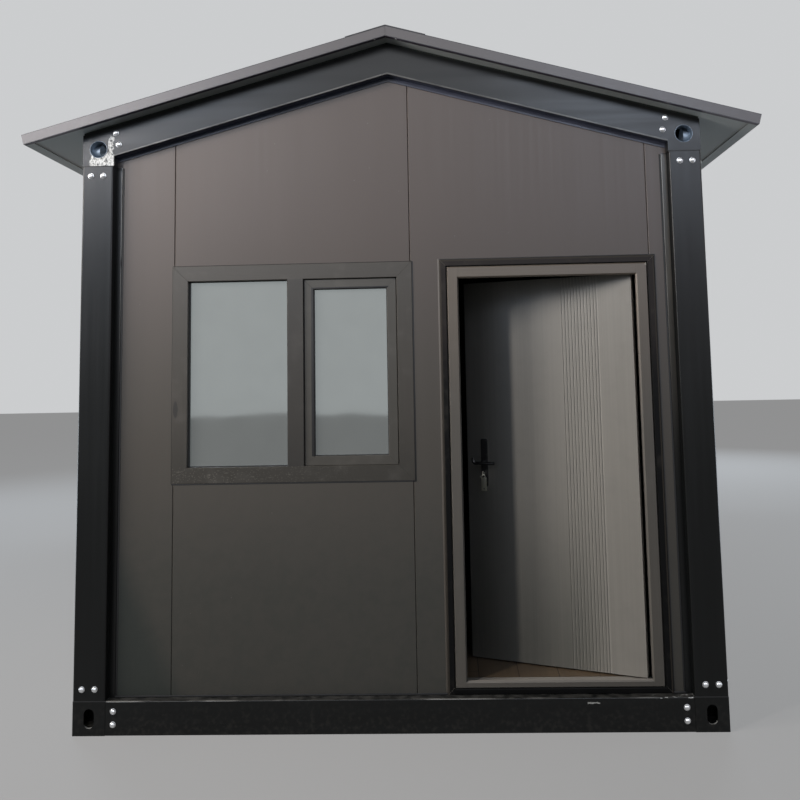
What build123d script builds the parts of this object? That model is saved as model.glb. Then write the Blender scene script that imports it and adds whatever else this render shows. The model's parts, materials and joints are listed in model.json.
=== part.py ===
from build123d import *
import os
from math import cos, sin, tan, radians, floor

os.makedirs("parts", exist_ok=True)

# A modular guesthouse on a bolted steel frame, in millimetres.
# X runs along the gable front, Y into the depth and Z up. The front faces -Y.
# The origin is on the ground, in the middle of the footprint.

# Steel frame, measured over the corner castings
frame_width = 3000.0
frame_length = 5950.0
base_height = 152.0
post_height = 2516.0
casting_size = 155.0
casting_height = 155.0
casting_wall = 10.0
casting_edge = 4.0
steel = 4.0
frame_edge = 9.0

# The frame's stepped section, shared by posts, rafters and eave beams
post_face = 152.0
rafter_face = 143.0
step_depth = 45.0
lip = 28.0
rafter_lip = 22.0

# Holes in the castings
slot_width = 48.0
slot_height = 86.0
lift_hole_radius = 43.0
lift_hole_rise = 84.0

# Sandwich panels
panel_recess = 50.0
panel_thickness = 75.0
panel_module = 1150.0
joint_gap = 1.5
joint_chamfer = 2.5

# The front gable's layout, from the corner posts inwards
left_strip = 263.0
right_strip = 77.0
door_margin = 54.0
door_pier = 141.0

# Roof
roof_pitch = 15.5
roof_thickness = 43.0
roof_seal_thickness = 10.0
roof_seal_width = 60.0
roof_seal_inset = 5.0
eave_reach = 245.0
verge_reach = 90.0
sheet = 3.0
verge_top_return = 40.0
verge_bottom_return = 25.0
eave_return = 40.0
cap_wing = 185.0
cap_overhang = 2.0
rib_pitch = 300.0
rib_height = 18.0
rib_foot = 60.0
rib_top = 30.0
rib_margin = 100.0
ridge_beam_width = 60.0
ridge_beam_height = 120.0

# Floor
floor_thickness = 48.0
joist_height = 100.0
joist_width = 50.0
joist_wall = 3.0
joist_spacing = 600.0
base_foot_flange = 70.0

# Front window, a sliding pair
window_bottom = 1134.0
window_height = 1028.0
window_flange = 8.0
window_flange_thickness = 4.0
window_face = 67.0
mullion_width = 78.0
mullion_offset = 16.0
sash_face = 45.0
sash_depth = 40.0
sash_gap = 3.0
sash_recess = 6.0
glass_thickness = 6.0
glass_recess = 24.0
profile_chamfer = 2.0

# Doorway
trim_width = 34.0
trim_foot = 26.0
trim_proud = 6.0
frame_face = 57.0
threshold_height = 33.0
frame_chamfer = 6.5
trim_chamfer = 3.0
door_clear_width = 850.0
door_clear_height = 1872.0
stop_depth = 21.0
stop_overlap = 6.0
hinge_gap = 5.0
latch_gap = 8.0
leaf_clearance = 5.0
leaf_thickness = 50.0
leaf_floor_gap = 8.0
leaf_edge = 2.0
open_angle = 21.5

# Leaf grooves, hinges and handle
groove_width = 6.0
lead_groove_width = 9.0
groove_depth = 2.5
groove_pitch = 16.0
groove_count = 12
groove_band_x = -173.0
knuckle_radius = 8.0
pin_radius = 3.0
pin_clearance = 0.3
hinge_height = 100.0
hinge_plate = 3.0
hinge_plate_width = 34.0
hinge_count = 3
hinge_end_margin = 180.0
pin_setback = 9.0
handle_backset = 93.0
handle_height = 970.0
plate_width = 35.0
plate_height = 240.0
plate_thickness = 7.0
neck_radius = 10.0
lever_radius = 8.0
lever_reach = 45.0
lever_grip = 66.0
lever_tail = 47.0
lever_tail_rise = 28.0
lever_bend = 15.0
cylinder_radius = 12.0
cylinder_drop = 52.0
cylinder_proud = 12.0

# Places that follow from the sizes above
front_y = -frame_length / 2
side_x = -frame_width / 2
frame_top = base_height + post_height + casting_height
wall_inside = panel_recess + panel_thickness
slope = tan(radians(roof_pitch))
pitch_cos = cos(radians(roof_pitch))
pitch_sin = sin(radians(roof_pitch))
apex_height = frame_top + frame_width / 2 * slope
gable_drop = (rafter_face + rafter_lip) / pitch_cos
post_width = post_face + lip
post_inner = frame_width / 2 - post_width
beam_width = frame_width - 2 * casting_size
beam_length = frame_length - 2 * casting_size
floor_top = base_height + floor_thickness
roof_length = frame_length + 2 * verge_reach
slope_length = (frame_width / 2 + eave_reach) / pitch_cos
post_top = base_height + post_height

trim_right = post_inner - door_margin
door_x = trim_right - trim_width - frame_face - door_clear_width / 2
trim_left = door_x - door_clear_width / 2 - frame_face - trim_width
window_left = -post_inner + left_strip
window_right = trim_left - door_pier
door_joint = post_inner - right_strip
threshold_top = base_height + trim_foot + threshold_height
door_head = threshold_top + door_clear_height
frame_head = door_head + frame_face
trim_head = frame_head + trim_width
hinge_x = door_x + door_clear_width / 2 + stop_overlap + pin_setback
leaf_right = -pin_setback
leaf_left = leaf_right - door_clear_width - 2 * stop_overlap
leaf_outside = step_depth + stop_depth + leaf_clearance
leaf_inside = leaf_outside + leaf_thickness
hinge_y = leaf_inside + pin_setback + leaf_clearance
leaf_bottom = floor_top + leaf_floor_gap
leaf_top = door_head + stop_overlap


def roof_point(along, out, side=1):
    """A point in X and Z: so far down the slope, so far out from the rafters' top."""
    x = side * (along * pitch_cos + out * pitch_sin)
    return (x, apex_height - along * pitch_sin + out * pitch_cos)


def gable_height(x):
    """Height of the wall panels' sloping top at x."""
    return apex_height - gable_drop - abs(x) * slope


def slope_plane(along, out=0):
    """A plane square to the right-hand slope, with Y to the right and the slope's normal up."""
    x, z = roof_point(along, out)
    return Plane(origin=(x, 0, z), x_dir=(0, 1, 0), z_dir=(pitch_cos, 0, -pitch_sin))


def rectangle_between(left, right, low, high, mode=Mode.ADD):
    """A rectangle given by its four sides."""
    with Locations(((left + right) / 2, (low + high) / 2)):
        Rectangle(right - left, high - low, mode=mode)


def save(piece, name):
    """Label a finished piece and write it as its own file."""
    piece.part.label = name
    export_step(piece.part, f"parts/{name}.step")


def mirrored(piece, about):
    """A mirror image of a finished piece."""
    with BuildPart() as copy:
        mirror(piece.part, about=about)
    return copy


def at_all_corners(piece):
    """The same piece at the four corners, as one node."""
    with BuildPart() as group:
        add(piece.part)
        mirror(piece.part, about=Plane.YZ)
        mirror(about=Plane.XZ)
    return group


# Corner castings: hollow boxes, slotted at the base and with round lifting holes at the top
def base_casting():
    corner = Plane(origin=(side_x, front_y, 0))
    inner = casting_size - 2 * casting_wall
    middle = casting_size / 2
    with BuildPart() as casting:
        with BuildSketch(corner):
            Rectangle(casting_size, casting_size, align=(Align.MIN, Align.MIN))
        extrude(amount=base_height)
        fillet(casting.edges().filter_by(Axis.Z), radius=casting_edge)
        with BuildSketch(corner.offset(casting_wall)):
            with Locations((middle, middle)):
                Rectangle(inner, inner)
        extrude(amount=base_height - 2 * casting_wall, mode=Mode.SUBTRACT)
        with BuildSketch(Plane(origin=(side_x + middle, front_y, base_height / 2), z_dir=(0, -1, 0),
                               x_dir=(1, 0, 0))):
            SlotOverall(slot_height, slot_width, rotation=90)
        extrude(amount=-casting_wall, mode=Mode.SUBTRACT)
        with BuildSketch(Plane(origin=(side_x, front_y + middle, base_height / 2), z_dir=(-1, 0, 0),
                               x_dir=(0, -1, 0))):
            SlotOverall(slot_height, slot_width, rotation=90)
        extrude(amount=-casting_wall, mode=Mode.SUBTRACT)
    return casting


def casting_outline(inset):
    """The top casting's outline seen from the front, with its top along the roof slope."""
    left = side_x + inset
    right = side_x + casting_size - inset
    low = post_top + inset
    drop = inset / pitch_cos
    high_left = apex_height + left * slope - drop
    high_right = apex_height + right * slope - drop
    return [(left, low), (right, low), (right, high_right), (left, high_left)]


def top_casting():
    middle = casting_size / 2
    hole_height = post_top + lift_hole_rise
    with BuildPart() as casting:
        with BuildSketch(Plane.XZ.offset(-front_y)):
            with BuildLine():
                Polyline(*casting_outline(0), close=True)
            make_face()
        extrude(amount=-casting_size)
        with BuildSketch(Plane.XZ.offset(-front_y - casting_wall)):
            with BuildLine():
                Polyline(*casting_outline(casting_wall), close=True)
            make_face()
        extrude(amount=-(casting_size - 2 * casting_wall), mode=Mode.SUBTRACT)
        with BuildSketch(Plane(origin=(side_x + middle, front_y, hole_height), z_dir=(0, -1, 0),
                               x_dir=(1, 0, 0))):
            Circle(lift_hole_radius)
        extrude(amount=-casting_wall, mode=Mode.SUBTRACT)
        with BuildSketch(Plane(origin=(side_x, front_y + middle, hole_height), z_dir=(-1, 0, 0),
                               x_dir=(0, -1, 0))):
            Circle(lift_hole_radius)
        extrude(amount=-casting_wall, mode=Mode.SUBTRACT)
    return casting


save(at_all_corners(base_casting()), "base_castings")
save(at_all_corners(top_casting()), "top_castings")


# Corner posts: a bent steel section, stepped back on both faces where the wall panels start
def corner_post():
    with BuildPart() as post:
        with BuildSketch(Plane(origin=(side_x, front_y, base_height))) as section:
            with BuildLine():
                Polyline(
                    (0, 0), (post_face, 0), (post_face, step_depth), (post_width, step_depth),
                    (post_width, wall_inside), (wall_inside, wall_inside), (wall_inside, post_width),
                    (step_depth, post_width), (step_depth, post_face), (0, post_face), close=True)
            make_face()
            outer_edge = section.vertices().sort_by(Axis.X)[0:2] + section.vertices().sort_by(Axis.Y)[0:2]
            fillet(ShapeList(set(outer_edge)), radius=frame_edge)
            offset(amount=-steel, kind=Kind.INTERSECTION, mode=Mode.SUBTRACT)
        extrude(amount=post_height)
    return post


post_front_left = corner_post()
save(post_front_left, "post_front_left")
post_front_right = mirrored(post_front_left, Plane.YZ)
save(post_front_right, "post_front_right")
save(mirrored(post_front_left, Plane.XZ), "post_back_left")
save(mirrored(post_front_right, Plane.XZ), "post_back_right")


# Base beams: channels between the castings, whose top flange carries the walls and floor
def base_beam(plane, length):
    with BuildPart() as beam:
        with BuildSketch(plane) as section:
            with BuildLine():
                Polyline(
                    (0, 0), (base_foot_flange, 0), (base_foot_flange, steel), (steel, steel),
                    (steel, base_height - steel), (casting_size, base_height - steel),
                    (casting_size, base_height), (0, base_height), close=True)
            make_face()
            outer = section.vertices().group_by(Axis.X)[0]
            fillet(outer, radius=frame_edge / 2)
        extrude(amount=length)
    return beam


base_beam_front = base_beam(
    Plane(origin=(-beam_width / 2, front_y, 0), x_dir=(0, 1, 0), z_dir=(1, 0, 0)), beam_width)
base_beam_left = base_beam(
    Plane(origin=(side_x, beam_length / 2, 0), x_dir=(1, 0, 0), z_dir=(0, -1, 0)), beam_length)
save(base_beam_front, "base_beam_front")
save(mirrored(base_beam_front, Plane.XZ), "base_beam_back")
save(base_beam_left, "base_beam_left")
save(mirrored(base_beam_left, Plane.YZ), "base_beam_right")


# Eave beams: the posts' stepped section laid flat, with its top along the roof slope
def eave_beam():
    low = post_top
    inner_top = frame_top + wall_inside * slope
    with BuildPart() as beam:
        with BuildSketch(Plane(origin=(side_x, beam_length / 2, 0), x_dir=(1, 0, 0), z_dir=(0, -1, 0))) as section:
            with BuildLine():
                Polyline(
                    (0, low), (step_depth, low), (step_depth, low - lip), (wall_inside, low - lip),
                    (wall_inside, inner_top), (0, frame_top), close=True)
            make_face()
            fillet(section.vertices().group_by(Axis.X)[0].sort_by(Axis.Y)[0], radius=frame_edge)
            offset(amount=-steel, kind=Kind.INTERSECTION, mode=Mode.SUBTRACT)
        extrude(amount=beam_length)
        for end in (-1, 1):
            with Locations((side_x, end * beam_length / 2, low)):
                Box(2 * post_width, 2 * (post_width - casting_size), 2 * lip,
                    align=(Align.CENTER, Align.CENTER, Align.MAX), mode=Mode.SUBTRACT)
    return beam


eave_beam_left = eave_beam()
save(eave_beam_left, "eave_beam_left")
save(mirrored(eave_beam_left, Plane.YZ), "eave_beam_right")


# Gable rafters: the same section up the slope, mitred at the ridge and cut plumb at the castings
def rafter():
    with BuildPart() as beam:
        with BuildSketch(slope_plane(0)):
            with BuildLine():
                Polyline(
                    (front_y, 0), (front_y, -rafter_face), (front_y + step_depth, -rafter_face),
                    (front_y + step_depth, -rafter_face - rafter_lip),
                    (front_y + wall_inside, -rafter_face - rafter_lip), (front_y + wall_inside, 0), close=True)
            make_face()
            offset(amount=-steel, kind=Kind.INTERSECTION, mode=Mode.SUBTRACT)
        extrude(amount=slope_length, both=True)
        split(bisect_by=Plane.YZ, keep=Keep.TOP)
        split(bisect_by=Plane.YZ.offset(beam_width / 2), keep=Keep.BOTTOM)
    return beam


rafter_front_right = rafter()
rafter_front_left = mirrored(rafter_front_right, Plane.YZ)
save(rafter_front_right, "rafter_front_right")
save(rafter_front_left, "rafter_front_left")
save(mirrored(rafter_front_right, Plane.XZ), "rafter_back_right")
save(mirrored(rafter_front_left, Plane.XZ), "rafter_back_left")

# Ridge beam: a tube between the two gables
ridge_length = frame_length - 2 * wall_inside
ridge_top = apex_height - ridge_beam_width / 2 * slope
with BuildPart() as ridge_beam:
    with BuildSketch(Plane.XZ.offset(-ridge_length / 2)):
        with Locations((0, ridge_top)):
            Rectangle(ridge_beam_width, ridge_beam_height, align=(Align.CENTER, Align.MAX))
        offset(amount=-steel, kind=Kind.INTERSECTION, mode=Mode.SUBTRACT)
    extrude(amount=ridge_length)
save(ridge_beam, "ridge_beam")

# Floor deck inside the walls, on the base beams' flanges
room_width = frame_width - 2 * wall_inside
room_length = frame_length - 2 * wall_inside
with BuildPart() as floor_deck:
    with BuildSketch(Plane.XY.offset(base_height)):
        Rectangle(room_width, room_length)
        rectangle_between(trim_left, trim_right, front_y + wall_inside, front_y + wall_inside + trim_proud,
                          Mode.SUBTRACT)
    extrude(amount=floor_thickness)
save(floor_deck, "floor_deck")

# Joists: channels across the base, held between the side beams under their top flange
joist_count = 2 * floor(beam_length / 2 / joist_spacing) + 1
joist_top = base_height - steel
with BuildPart() as floor_joists:
    for i in range(joist_count):
        y = (i - (joist_count - 1) / 2) * joist_spacing
        with BuildSketch(Plane(origin=(side_x + steel, y, joist_top), x_dir=(0, 1, 0), z_dir=(1, 0, 0))):
            Rectangle(joist_width, joist_height, align=(Align.CENTER, Align.MAX))
            with Locations((joist_wall, -joist_wall)):
                Rectangle(joist_width, joist_height - 2 * joist_wall, align=(Align.CENTER, Align.MAX),
                          mode=Mode.SUBTRACT)
        extrude(amount=frame_width - 2 * steel)
save(floor_joists, "floor_joists")


# Gable walls: sandwich panels with chamfered joints, their tops cut along the rafters
def gable_panel(outline, jointed_left, jointed_right, cuts=()):
    """A panel of the front wall from its outline in X and Z, less the rectangles in cuts."""
    with BuildPart() as panel:
        with BuildSketch(Plane.XZ.offset(-front_y - panel_recess)):
            with BuildLine():
                Polyline(*outline, close=True)
            make_face()
            for cut in cuts:
                rectangle_between(*cut, mode=Mode.SUBTRACT)
        extrude(amount=-panel_thickness)
        upright = panel.edges().filter_by(Axis.Z).group_by(Axis.X)
        if jointed_left:
            chamfer(upright[0], length=joint_chamfer)
        if jointed_right:
            chamfer(upright[-1], length=joint_chamfer)
    return panel


def bay_outline(left, right, low):
    """A bay from low up to the rafters, with the apex where the bay crosses the middle."""
    points = [(left, low), (right, low), (right, gable_height(right))]
    if left < 0 < right:
        points.append((0, gable_height(0)))
    points.append((left, gable_height(left)))
    return points


def edge_outline(joint, side):
    """The strip from a joint out to the corner casting."""
    edge = side * beam_width / 2
    return [(edge, base_height), (joint, base_height), (joint, gable_height(joint)), (edge, gable_height(edge))]


half_joint = joint_gap / 2
window_top = window_bottom + window_height
left_post_cut = (-beam_width / 2, -post_inner, base_height, post_top)
right_post_cut = (post_inner, beam_width / 2, base_height, post_top)
door_cut = (door_joint + half_joint, trim_right, base_height, trim_head)

wall_left = gable_panel(edge_outline(window_left - half_joint, -1), False, True, [left_post_cut])
under_window = gable_panel(
    [(window_left + half_joint, base_height), (window_right - half_joint, base_height),
     (window_right - half_joint, window_bottom), (window_left + half_joint, window_bottom)], True, True)
over_window = gable_panel(
    bay_outline(window_left + half_joint, window_right - half_joint, window_top), True, True)
door_pier = gable_panel(bay_outline(window_right + half_joint, trim_left, base_height), True, False)
over_door = gable_panel(bay_outline(trim_left, door_joint - half_joint, trim_head), False, True)
beside_door = gable_panel(edge_outline(door_joint + half_joint, 1), True, False, [right_post_cut, door_cut])
save(wall_left, "front_wall_left")
save(under_window, "front_wall_under_window")
save(over_window, "front_wall_over_window")
save(door_pier, "front_wall_door_pier")
save(over_door, "front_wall_over_door")
save(beside_door, "front_wall_right")

full_bay = gable_panel(bay_outline(window_right + half_joint, door_joint - half_joint, base_height), True, True)
wall_right = gable_panel(edge_outline(door_joint + half_joint, 1), True, False, [right_post_cut])
save(mirrored(wall_left, Plane.XZ), "back_wall_left")
save(mirrored(under_window, Plane.XZ), "back_wall_under_window")
save(mirrored(over_window, Plane.XZ), "back_wall_over_window")
save(mirrored(full_bay, Plane.XZ), "back_wall_middle")
save(mirrored(wall_right, Plane.XZ), "back_wall_right")


# Side walls: whole panels in the middle and an equal cut panel at each end
def side_wall():
    wall_length = frame_length - 2 * post_width
    whole = floor(wall_length / panel_module)
    cut = (wall_length - whole * panel_module) / 2
    widths = [cut] + [panel_module] * whole + [cut]
    height = post_height - lip
    start = -wall_length / 2
    with BuildPart() as wall:
        for width in widths:
            middle = start + width / 2
            with BuildSketch(Plane(origin=(side_x + panel_recess, middle, base_height))) as plan:
                Rectangle(panel_thickness, width - joint_gap, align=(Align.MIN, Align.CENTER))
                chamfer(plan.vertices(), length=joint_chamfer)
            extrude(amount=height)
            start += width
    return wall


left_wall = side_wall()
save(left_wall, "left_wall")
save(mirrored(left_wall, Plane.YZ), "right_wall")


# Sliding window: a flanged frame with a mullion, a fixed light and a sash
def opening_plane(depth):
    """A plane facing the front, so far in from the gable's face."""
    return Plane.XZ.offset(-front_y - depth)


window_x = (window_left + window_right) / 2
window_z = window_bottom + window_height / 2
mullion_x = window_x + mullion_offset
light_left = window_left + window_face
light_right = window_right - window_face
light_bottom = window_bottom + window_face
light_height = window_height - 2 * window_face
fixed_right = mullion_x - mullion_width / 2
sliding_left = mullion_x + mullion_width / 2


def window_lights():
    """Cut the two lights out of the frame's sketch."""
    for left, right in ((light_left, fixed_right), (sliding_left, light_right)):
        with Locations(((left + right) / 2, window_z)):
            Rectangle(right - left, light_height, mode=Mode.SUBTRACT)


with BuildPart() as window_frame:
    with BuildSketch(opening_plane(panel_recess)):
        with Locations((window_x, window_z)):
            Rectangle(window_right - window_left, window_height)
        window_lights()
    extrude(amount=-panel_thickness)
    with BuildSketch(opening_plane(panel_recess)):
        with Locations((window_x, window_z)):
            Rectangle(window_right - window_left + 2 * window_flange, window_height + 2 * window_flange)
        window_lights()
    extrude(amount=window_flange_thickness)
    chamfer(window_frame.faces().sort_by(Axis.Y)[0].edges(), length=profile_chamfer)

sash_width = light_right - sliding_left - 2 * sash_gap
sash_height = light_height - sash_gap
sash_x = (sliding_left + light_right) / 2
sash_z = light_bottom + sash_height / 2
with BuildPart() as window_sash:
    with BuildSketch(opening_plane(panel_recess + sash_recess)):
        with Locations((sash_x, sash_z)):
            Rectangle(sash_width, sash_height)
            Rectangle(sash_width - 2 * sash_face, sash_height - 2 * sash_face, mode=Mode.SUBTRACT)
    extrude(amount=-sash_depth)
    chamfer(window_sash.faces().sort_by(Axis.Y)[0].edges(), length=profile_chamfer)

with BuildPart() as window_glass:
    with BuildSketch(opening_plane(panel_recess + glass_recess)):
        with Locations(((light_left + fixed_right) / 2, window_z)):
            Rectangle(fixed_right - light_left, light_height)
        with Locations((sash_x, sash_z)):
            Rectangle(sash_width - 2 * sash_face, sash_height - 2 * sash_face)
    extrude(amount=-glass_thickness)

save(window_frame, "front_window_frame")
save(window_sash, "front_window_sash")
save(window_glass, "front_window_glass")
save(mirrored(window_frame, Plane.XZ), "back_window_frame")
save(mirrored(window_sash, Plane.XZ), "back_window_sash")
save(mirrored(window_glass, Plane.XZ), "back_window_glass")


# Doorway: a channel trim round the panels' cut edge, and a rebated frame inside it
frame_left = trim_left + trim_width
frame_right = trim_right - trim_width
frame_foot = base_height + trim_foot
clear_left = frame_left + frame_face
clear_right = frame_right - frame_face

with BuildPart() as door_trim:
    with BuildSketch(opening_plane(panel_recess - trim_proud)):
        rectangle_between(trim_left, trim_right, base_height, trim_head)
        rectangle_between(frame_left, frame_right, frame_foot, frame_head, Mode.SUBTRACT)
    extrude(amount=-(panel_thickness + 2 * trim_proud))
    chamfer(door_trim.faces().sort_by(Axis.Y)[0].edges(), length=trim_chamfer)
save(door_trim, "door_trim")

rebate_left = clear_left - stop_overlap - latch_gap
rebate_right = clear_right + stop_overlap + hinge_gap
with BuildPart() as door_frame:
    with BuildSketch(opening_plane(step_depth)):
        rectangle_between(frame_left, frame_right, frame_foot, frame_head)
        rectangle_between(clear_left, clear_right, threshold_top, door_head, Mode.SUBTRACT)
    extrude(amount=-stop_depth)
    chamfer(door_frame.faces().sort_by(Axis.Y)[0].edges(), length=frame_chamfer)
    with BuildSketch(opening_plane(step_depth + stop_depth)):
        rectangle_between(frame_left, frame_right, frame_foot, frame_head)
        rectangle_between(rebate_left, rebate_right, floor_top, leaf_top + leaf_clearance, Mode.SUBTRACT)
    extrude(amount=-(wall_inside - step_depth - stop_depth))
save(door_frame, "door_frame")


# The leaf and what it carries are drawn in the leaf's own frame: the hinge pin is the origin,
# x runs towards the hinge, y into the room, and the whole frame is turned to the open angle.
def leaf_plane(height):
    turn = radians(open_angle)
    return Plane(origin=(hinge_x, front_y + hinge_y, height), x_dir=(cos(turn), -sin(turn), 0), z_dir=(0, 0, 1))


def leaf_face_plane(x, y, height):
    """A plane standing in the leaf's frame, facing out of the front, with x to the right."""
    flat = leaf_plane(height)
    place = flat.from_local_coords(Vector(x, y, 0))
    return Plane(origin=place, x_dir=flat.x_dir, z_dir=-flat.y_dir)


leaf_front = leaf_outside - hinge_y
leaf_back = leaf_inside - hinge_y
with BuildPart() as door_leaf:
    with BuildSketch(leaf_plane(leaf_bottom)) as section:
        rectangle_between(leaf_left, leaf_right, leaf_front, leaf_back)
        chamfer(section.vertices(), length=leaf_edge)
        for i in range(groove_count):
            right = groove_band_x - i * groove_pitch
            left = right - (groove_width if i else lead_groove_width)
            rectangle_between(left, right, leaf_front, leaf_front + groove_depth, Mode.SUBTRACT)
            rectangle_between(left, right, leaf_back - groove_depth, leaf_back, Mode.SUBTRACT)
    extrude(amount=leaf_top - leaf_bottom)
save(door_leaf, "door_leaf")

# Hinges: the frame holds the upper and lower knuckles and the pin, the leaf the middle knuckle
hinge_span = leaf_top - leaf_bottom - 2 * hinge_end_margin
hinge_heights = [leaf_bottom + hinge_end_margin + hinge_span * i / (hinge_count - 1) for i in range(hinge_count)]
knuckle_height = hinge_height / 3
knuckle_gap = 0.5


def fixed_plane(height):
    return Plane(origin=(hinge_x, front_y + hinge_y, height))


frame_face_y = wall_inside - hinge_y
with BuildPart() as hinges_on_frame:
    for middle in hinge_heights:
        with BuildSketch(fixed_plane(middle - hinge_height / 2)):
            Circle(pin_radius)
        extrude(amount=hinge_height)
        for low in (middle - hinge_height / 2, middle + knuckle_height / 2):
            with BuildSketch(fixed_plane(low)):
                Circle(knuckle_radius)
                rectangle_between(0, hinge_plate_width, frame_face_y, frame_face_y + hinge_plate)
                rectangle_between(0, knuckle_radius, frame_face_y, 0)
            extrude(amount=knuckle_height)
save(hinges_on_frame, "hinges_on_frame")

with BuildPart() as hinges_on_leaf:
    for middle in hinge_heights:
        with BuildSketch(leaf_plane(middle - knuckle_height / 2 + knuckle_gap)):
            Circle(knuckle_radius)
            rectangle_between(leaf_right - hinge_plate_width, leaf_right, leaf_back, leaf_back + hinge_plate)
            rectangle_between(leaf_right - hinge_plate, leaf_right, leaf_back, 0)
            rectangle_between(leaf_right - hinge_plate, 0, -hinge_plate, 0)
            Circle(pin_radius + pin_clearance, mode=Mode.SUBTRACT)
        extrude(amount=knuckle_height - 2 * knuckle_gap)
save(hinges_on_leaf, "hinges_on_leaf")

# Handle set on each face of the leaf: a long plate, a lock cylinder and a lever with a raised tail
handle_x = leaf_left + handle_backset
handle_z = floor_top + handle_height

with BuildPart() as door_handle:
    for face_y, outward in ((leaf_front, 1), (leaf_back, -1)):
        face = leaf_face_plane(handle_x, face_y, handle_z)
        with BuildSketch(face):
            RectangleRounded(plate_width, plate_height, radius=plate_width / 4)
        extrude(amount=outward * plate_thickness)
        with BuildSketch(leaf_face_plane(handle_x, face_y, handle_z - cylinder_drop)):
            Circle(cylinder_radius)
        extrude(amount=outward * cylinder_proud)
        with BuildSketch(face):
            Circle(neck_radius)
        extrude(amount=outward * lever_reach)
        with BuildLine(leaf_face_plane(handle_x, face_y - outward * lever_reach, handle_z)) as grip:
            FilletPolyline((-lever_tail, lever_tail_rise), (-lever_tail, 0), (lever_grip, 0),
                           radius=lever_bend)
        with BuildSketch(Plane(origin=grip.line @ 0, z_dir=grip.line % 0)):
            Circle(lever_radius)
        sweep(path=grip.line)
save(door_handle, "door_handle")

# Roof seal: a foam strip on the rafters and eave beams, on which the roof slabs lie
seal_end = (frame_width / 2 - roof_seal_inset) / pitch_cos
seal_length = frame_length - 2 * roof_seal_inset
with BuildPart() as seal_half:
    with BuildSketch(slope_plane(0)):
        Rectangle(seal_length, roof_seal_thickness, align=(Align.CENTER, Align.MIN))
    extrude(amount=seal_end)
    extrude(seal_half.faces().sort_by(Axis.X)[0], amount=roof_seal_thickness)
    with BuildSketch(slope_plane(seal_end - roof_seal_width)):
        Rectangle(seal_length - 2 * roof_seal_width, roof_seal_thickness, align=(Align.CENTER, Align.MIN))
    extrude(amount=-2 * seal_end, mode=Mode.SUBTRACT)
    split(bisect_by=Plane.YZ, keep=Keep.TOP)

with BuildPart() as roof_seal:
    add(seal_half.part)
    mirror(seal_half.part, about=Plane.YZ)
save(roof_seal, "roof_seal")


def roof_plane(along):
    """The same plane, raised to the underside of the roof slabs."""
    return slope_plane(along, roof_seal_thickness)


# Roof: ribbed sandwich slabs, cut plumb where they meet at the ridge
rib_start = cap_wing + 2 * sheet
rib_count = floor((roof_length - 2 * rib_margin) / rib_pitch) + 1
with BuildPart() as roof_right:
    with BuildSketch(roof_plane(0)):
        Rectangle(roof_length, roof_thickness, align=(Align.CENTER, Align.MIN))
    extrude(amount=slope_length)
    extrude(roof_right.faces().sort_by(Axis.X)[0], amount=roof_thickness)
    split(bisect_by=Plane.YZ, keep=Keep.TOP)
    with BuildSketch(roof_plane(rib_start)):
        for i in range(rib_count):
            y = (i - (rib_count - 1) / 2) * rib_pitch
            with BuildLine():
                Polyline(
                    (y - rib_foot / 2, roof_thickness), (y + rib_foot / 2, roof_thickness),
                    (y + rib_top / 2, roof_thickness + rib_height),
                    (y - rib_top / 2, roof_thickness + rib_height), close=True)
            make_face()
    extrude(amount=slope_length - rib_start)
save(roof_right, "roof_right")
save(mirrored(roof_right, Plane.YZ), "roof_left")

# Verge trims: folded channels over the roof's gable edges, mitred at the ridge
verge_end = -roof_length / 2
with BuildPart() as verge_half:
    with BuildSketch(roof_plane(0)):
        with BuildLine():
            Polyline(
                (verge_end - sheet, -sheet), (verge_end + verge_bottom_return, -sheet),
                (verge_end + verge_bottom_return, 0), (verge_end, 0), (verge_end, roof_thickness),
                (verge_end + verge_top_return, roof_thickness),
                (verge_end + verge_top_return, roof_thickness + sheet),
                (verge_end - sheet, roof_thickness + sheet), close=True)
        make_face()
    extrude(amount=slope_length + sheet, both=True)
    split(bisect_by=Plane.YZ.offset(half_joint), keep=Keep.TOP)

with BuildPart() as verge_trim_front:
    add(verge_half.part)
    mirror(verge_half.part, about=Plane.YZ)
save(verge_trim_front, "verge_trim_front")
save(mirrored(verge_trim_front, Plane.XZ), "verge_trim_back")

# Eave trims: angles along the roof's lower edges, between the verge trims' returns
with BuildPart() as eave_trim_right:
    with BuildSketch(roof_plane(slope_length)):
        Rectangle(roof_length, roof_thickness, align=(Align.CENTER, Align.MIN))
    extrude(amount=sheet)
    with BuildSketch(roof_plane(slope_length + sheet)):
        Rectangle(roof_length - 2 * verge_bottom_return, sheet, align=(Align.CENTER, Align.MAX))
    extrude(amount=-(eave_return + sheet))
save(eave_trim_right, "eave_trim_right")
save(mirrored(eave_trim_right, Plane.YZ), "eave_trim_left")

# Ridge cap: a folded sheet over both slopes, resting on the verge trims
cap_low = roof_seal_thickness + roof_thickness + sheet
cap_high = cap_low + sheet
cap_length = roof_length + 2 * (sheet + cap_overhang)
with BuildPart() as ridge_cap:
    with BuildSketch(Plane.XZ.offset(-cap_length / 2)):
        with BuildLine():
            Polyline(
                (0, apex_height + cap_high / pitch_cos), roof_point(cap_wing, cap_high),
                roof_point(cap_wing, cap_low), (0, apex_height + cap_low / pitch_cos),
                roof_point(cap_wing, cap_low, -1), roof_point(cap_wing, cap_high, -1), close=True)
        make_face()
    extrude(amount=cap_length)
save(ridge_cap, "ridge_cap")
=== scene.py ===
# %% [markdown]
# # Dressing a modular guesthouse
# The guesthouse is a black steel frame, bolted at hollow corner castings, with sandwich panels between
# its posts. The packed model already holds every piece at its real size, so this script leaves the
# model as it is. It adds the camera, the light, a finish for every surface and the small pieces that
# are too fine for the model: bolts, rubber seals, screws and the key in the lock.

# %% Load the frame
import json
from math import cos, hypot, pi, radians, sin

import bmesh
import bpy
from mathutils import Matrix, Vector

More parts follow.
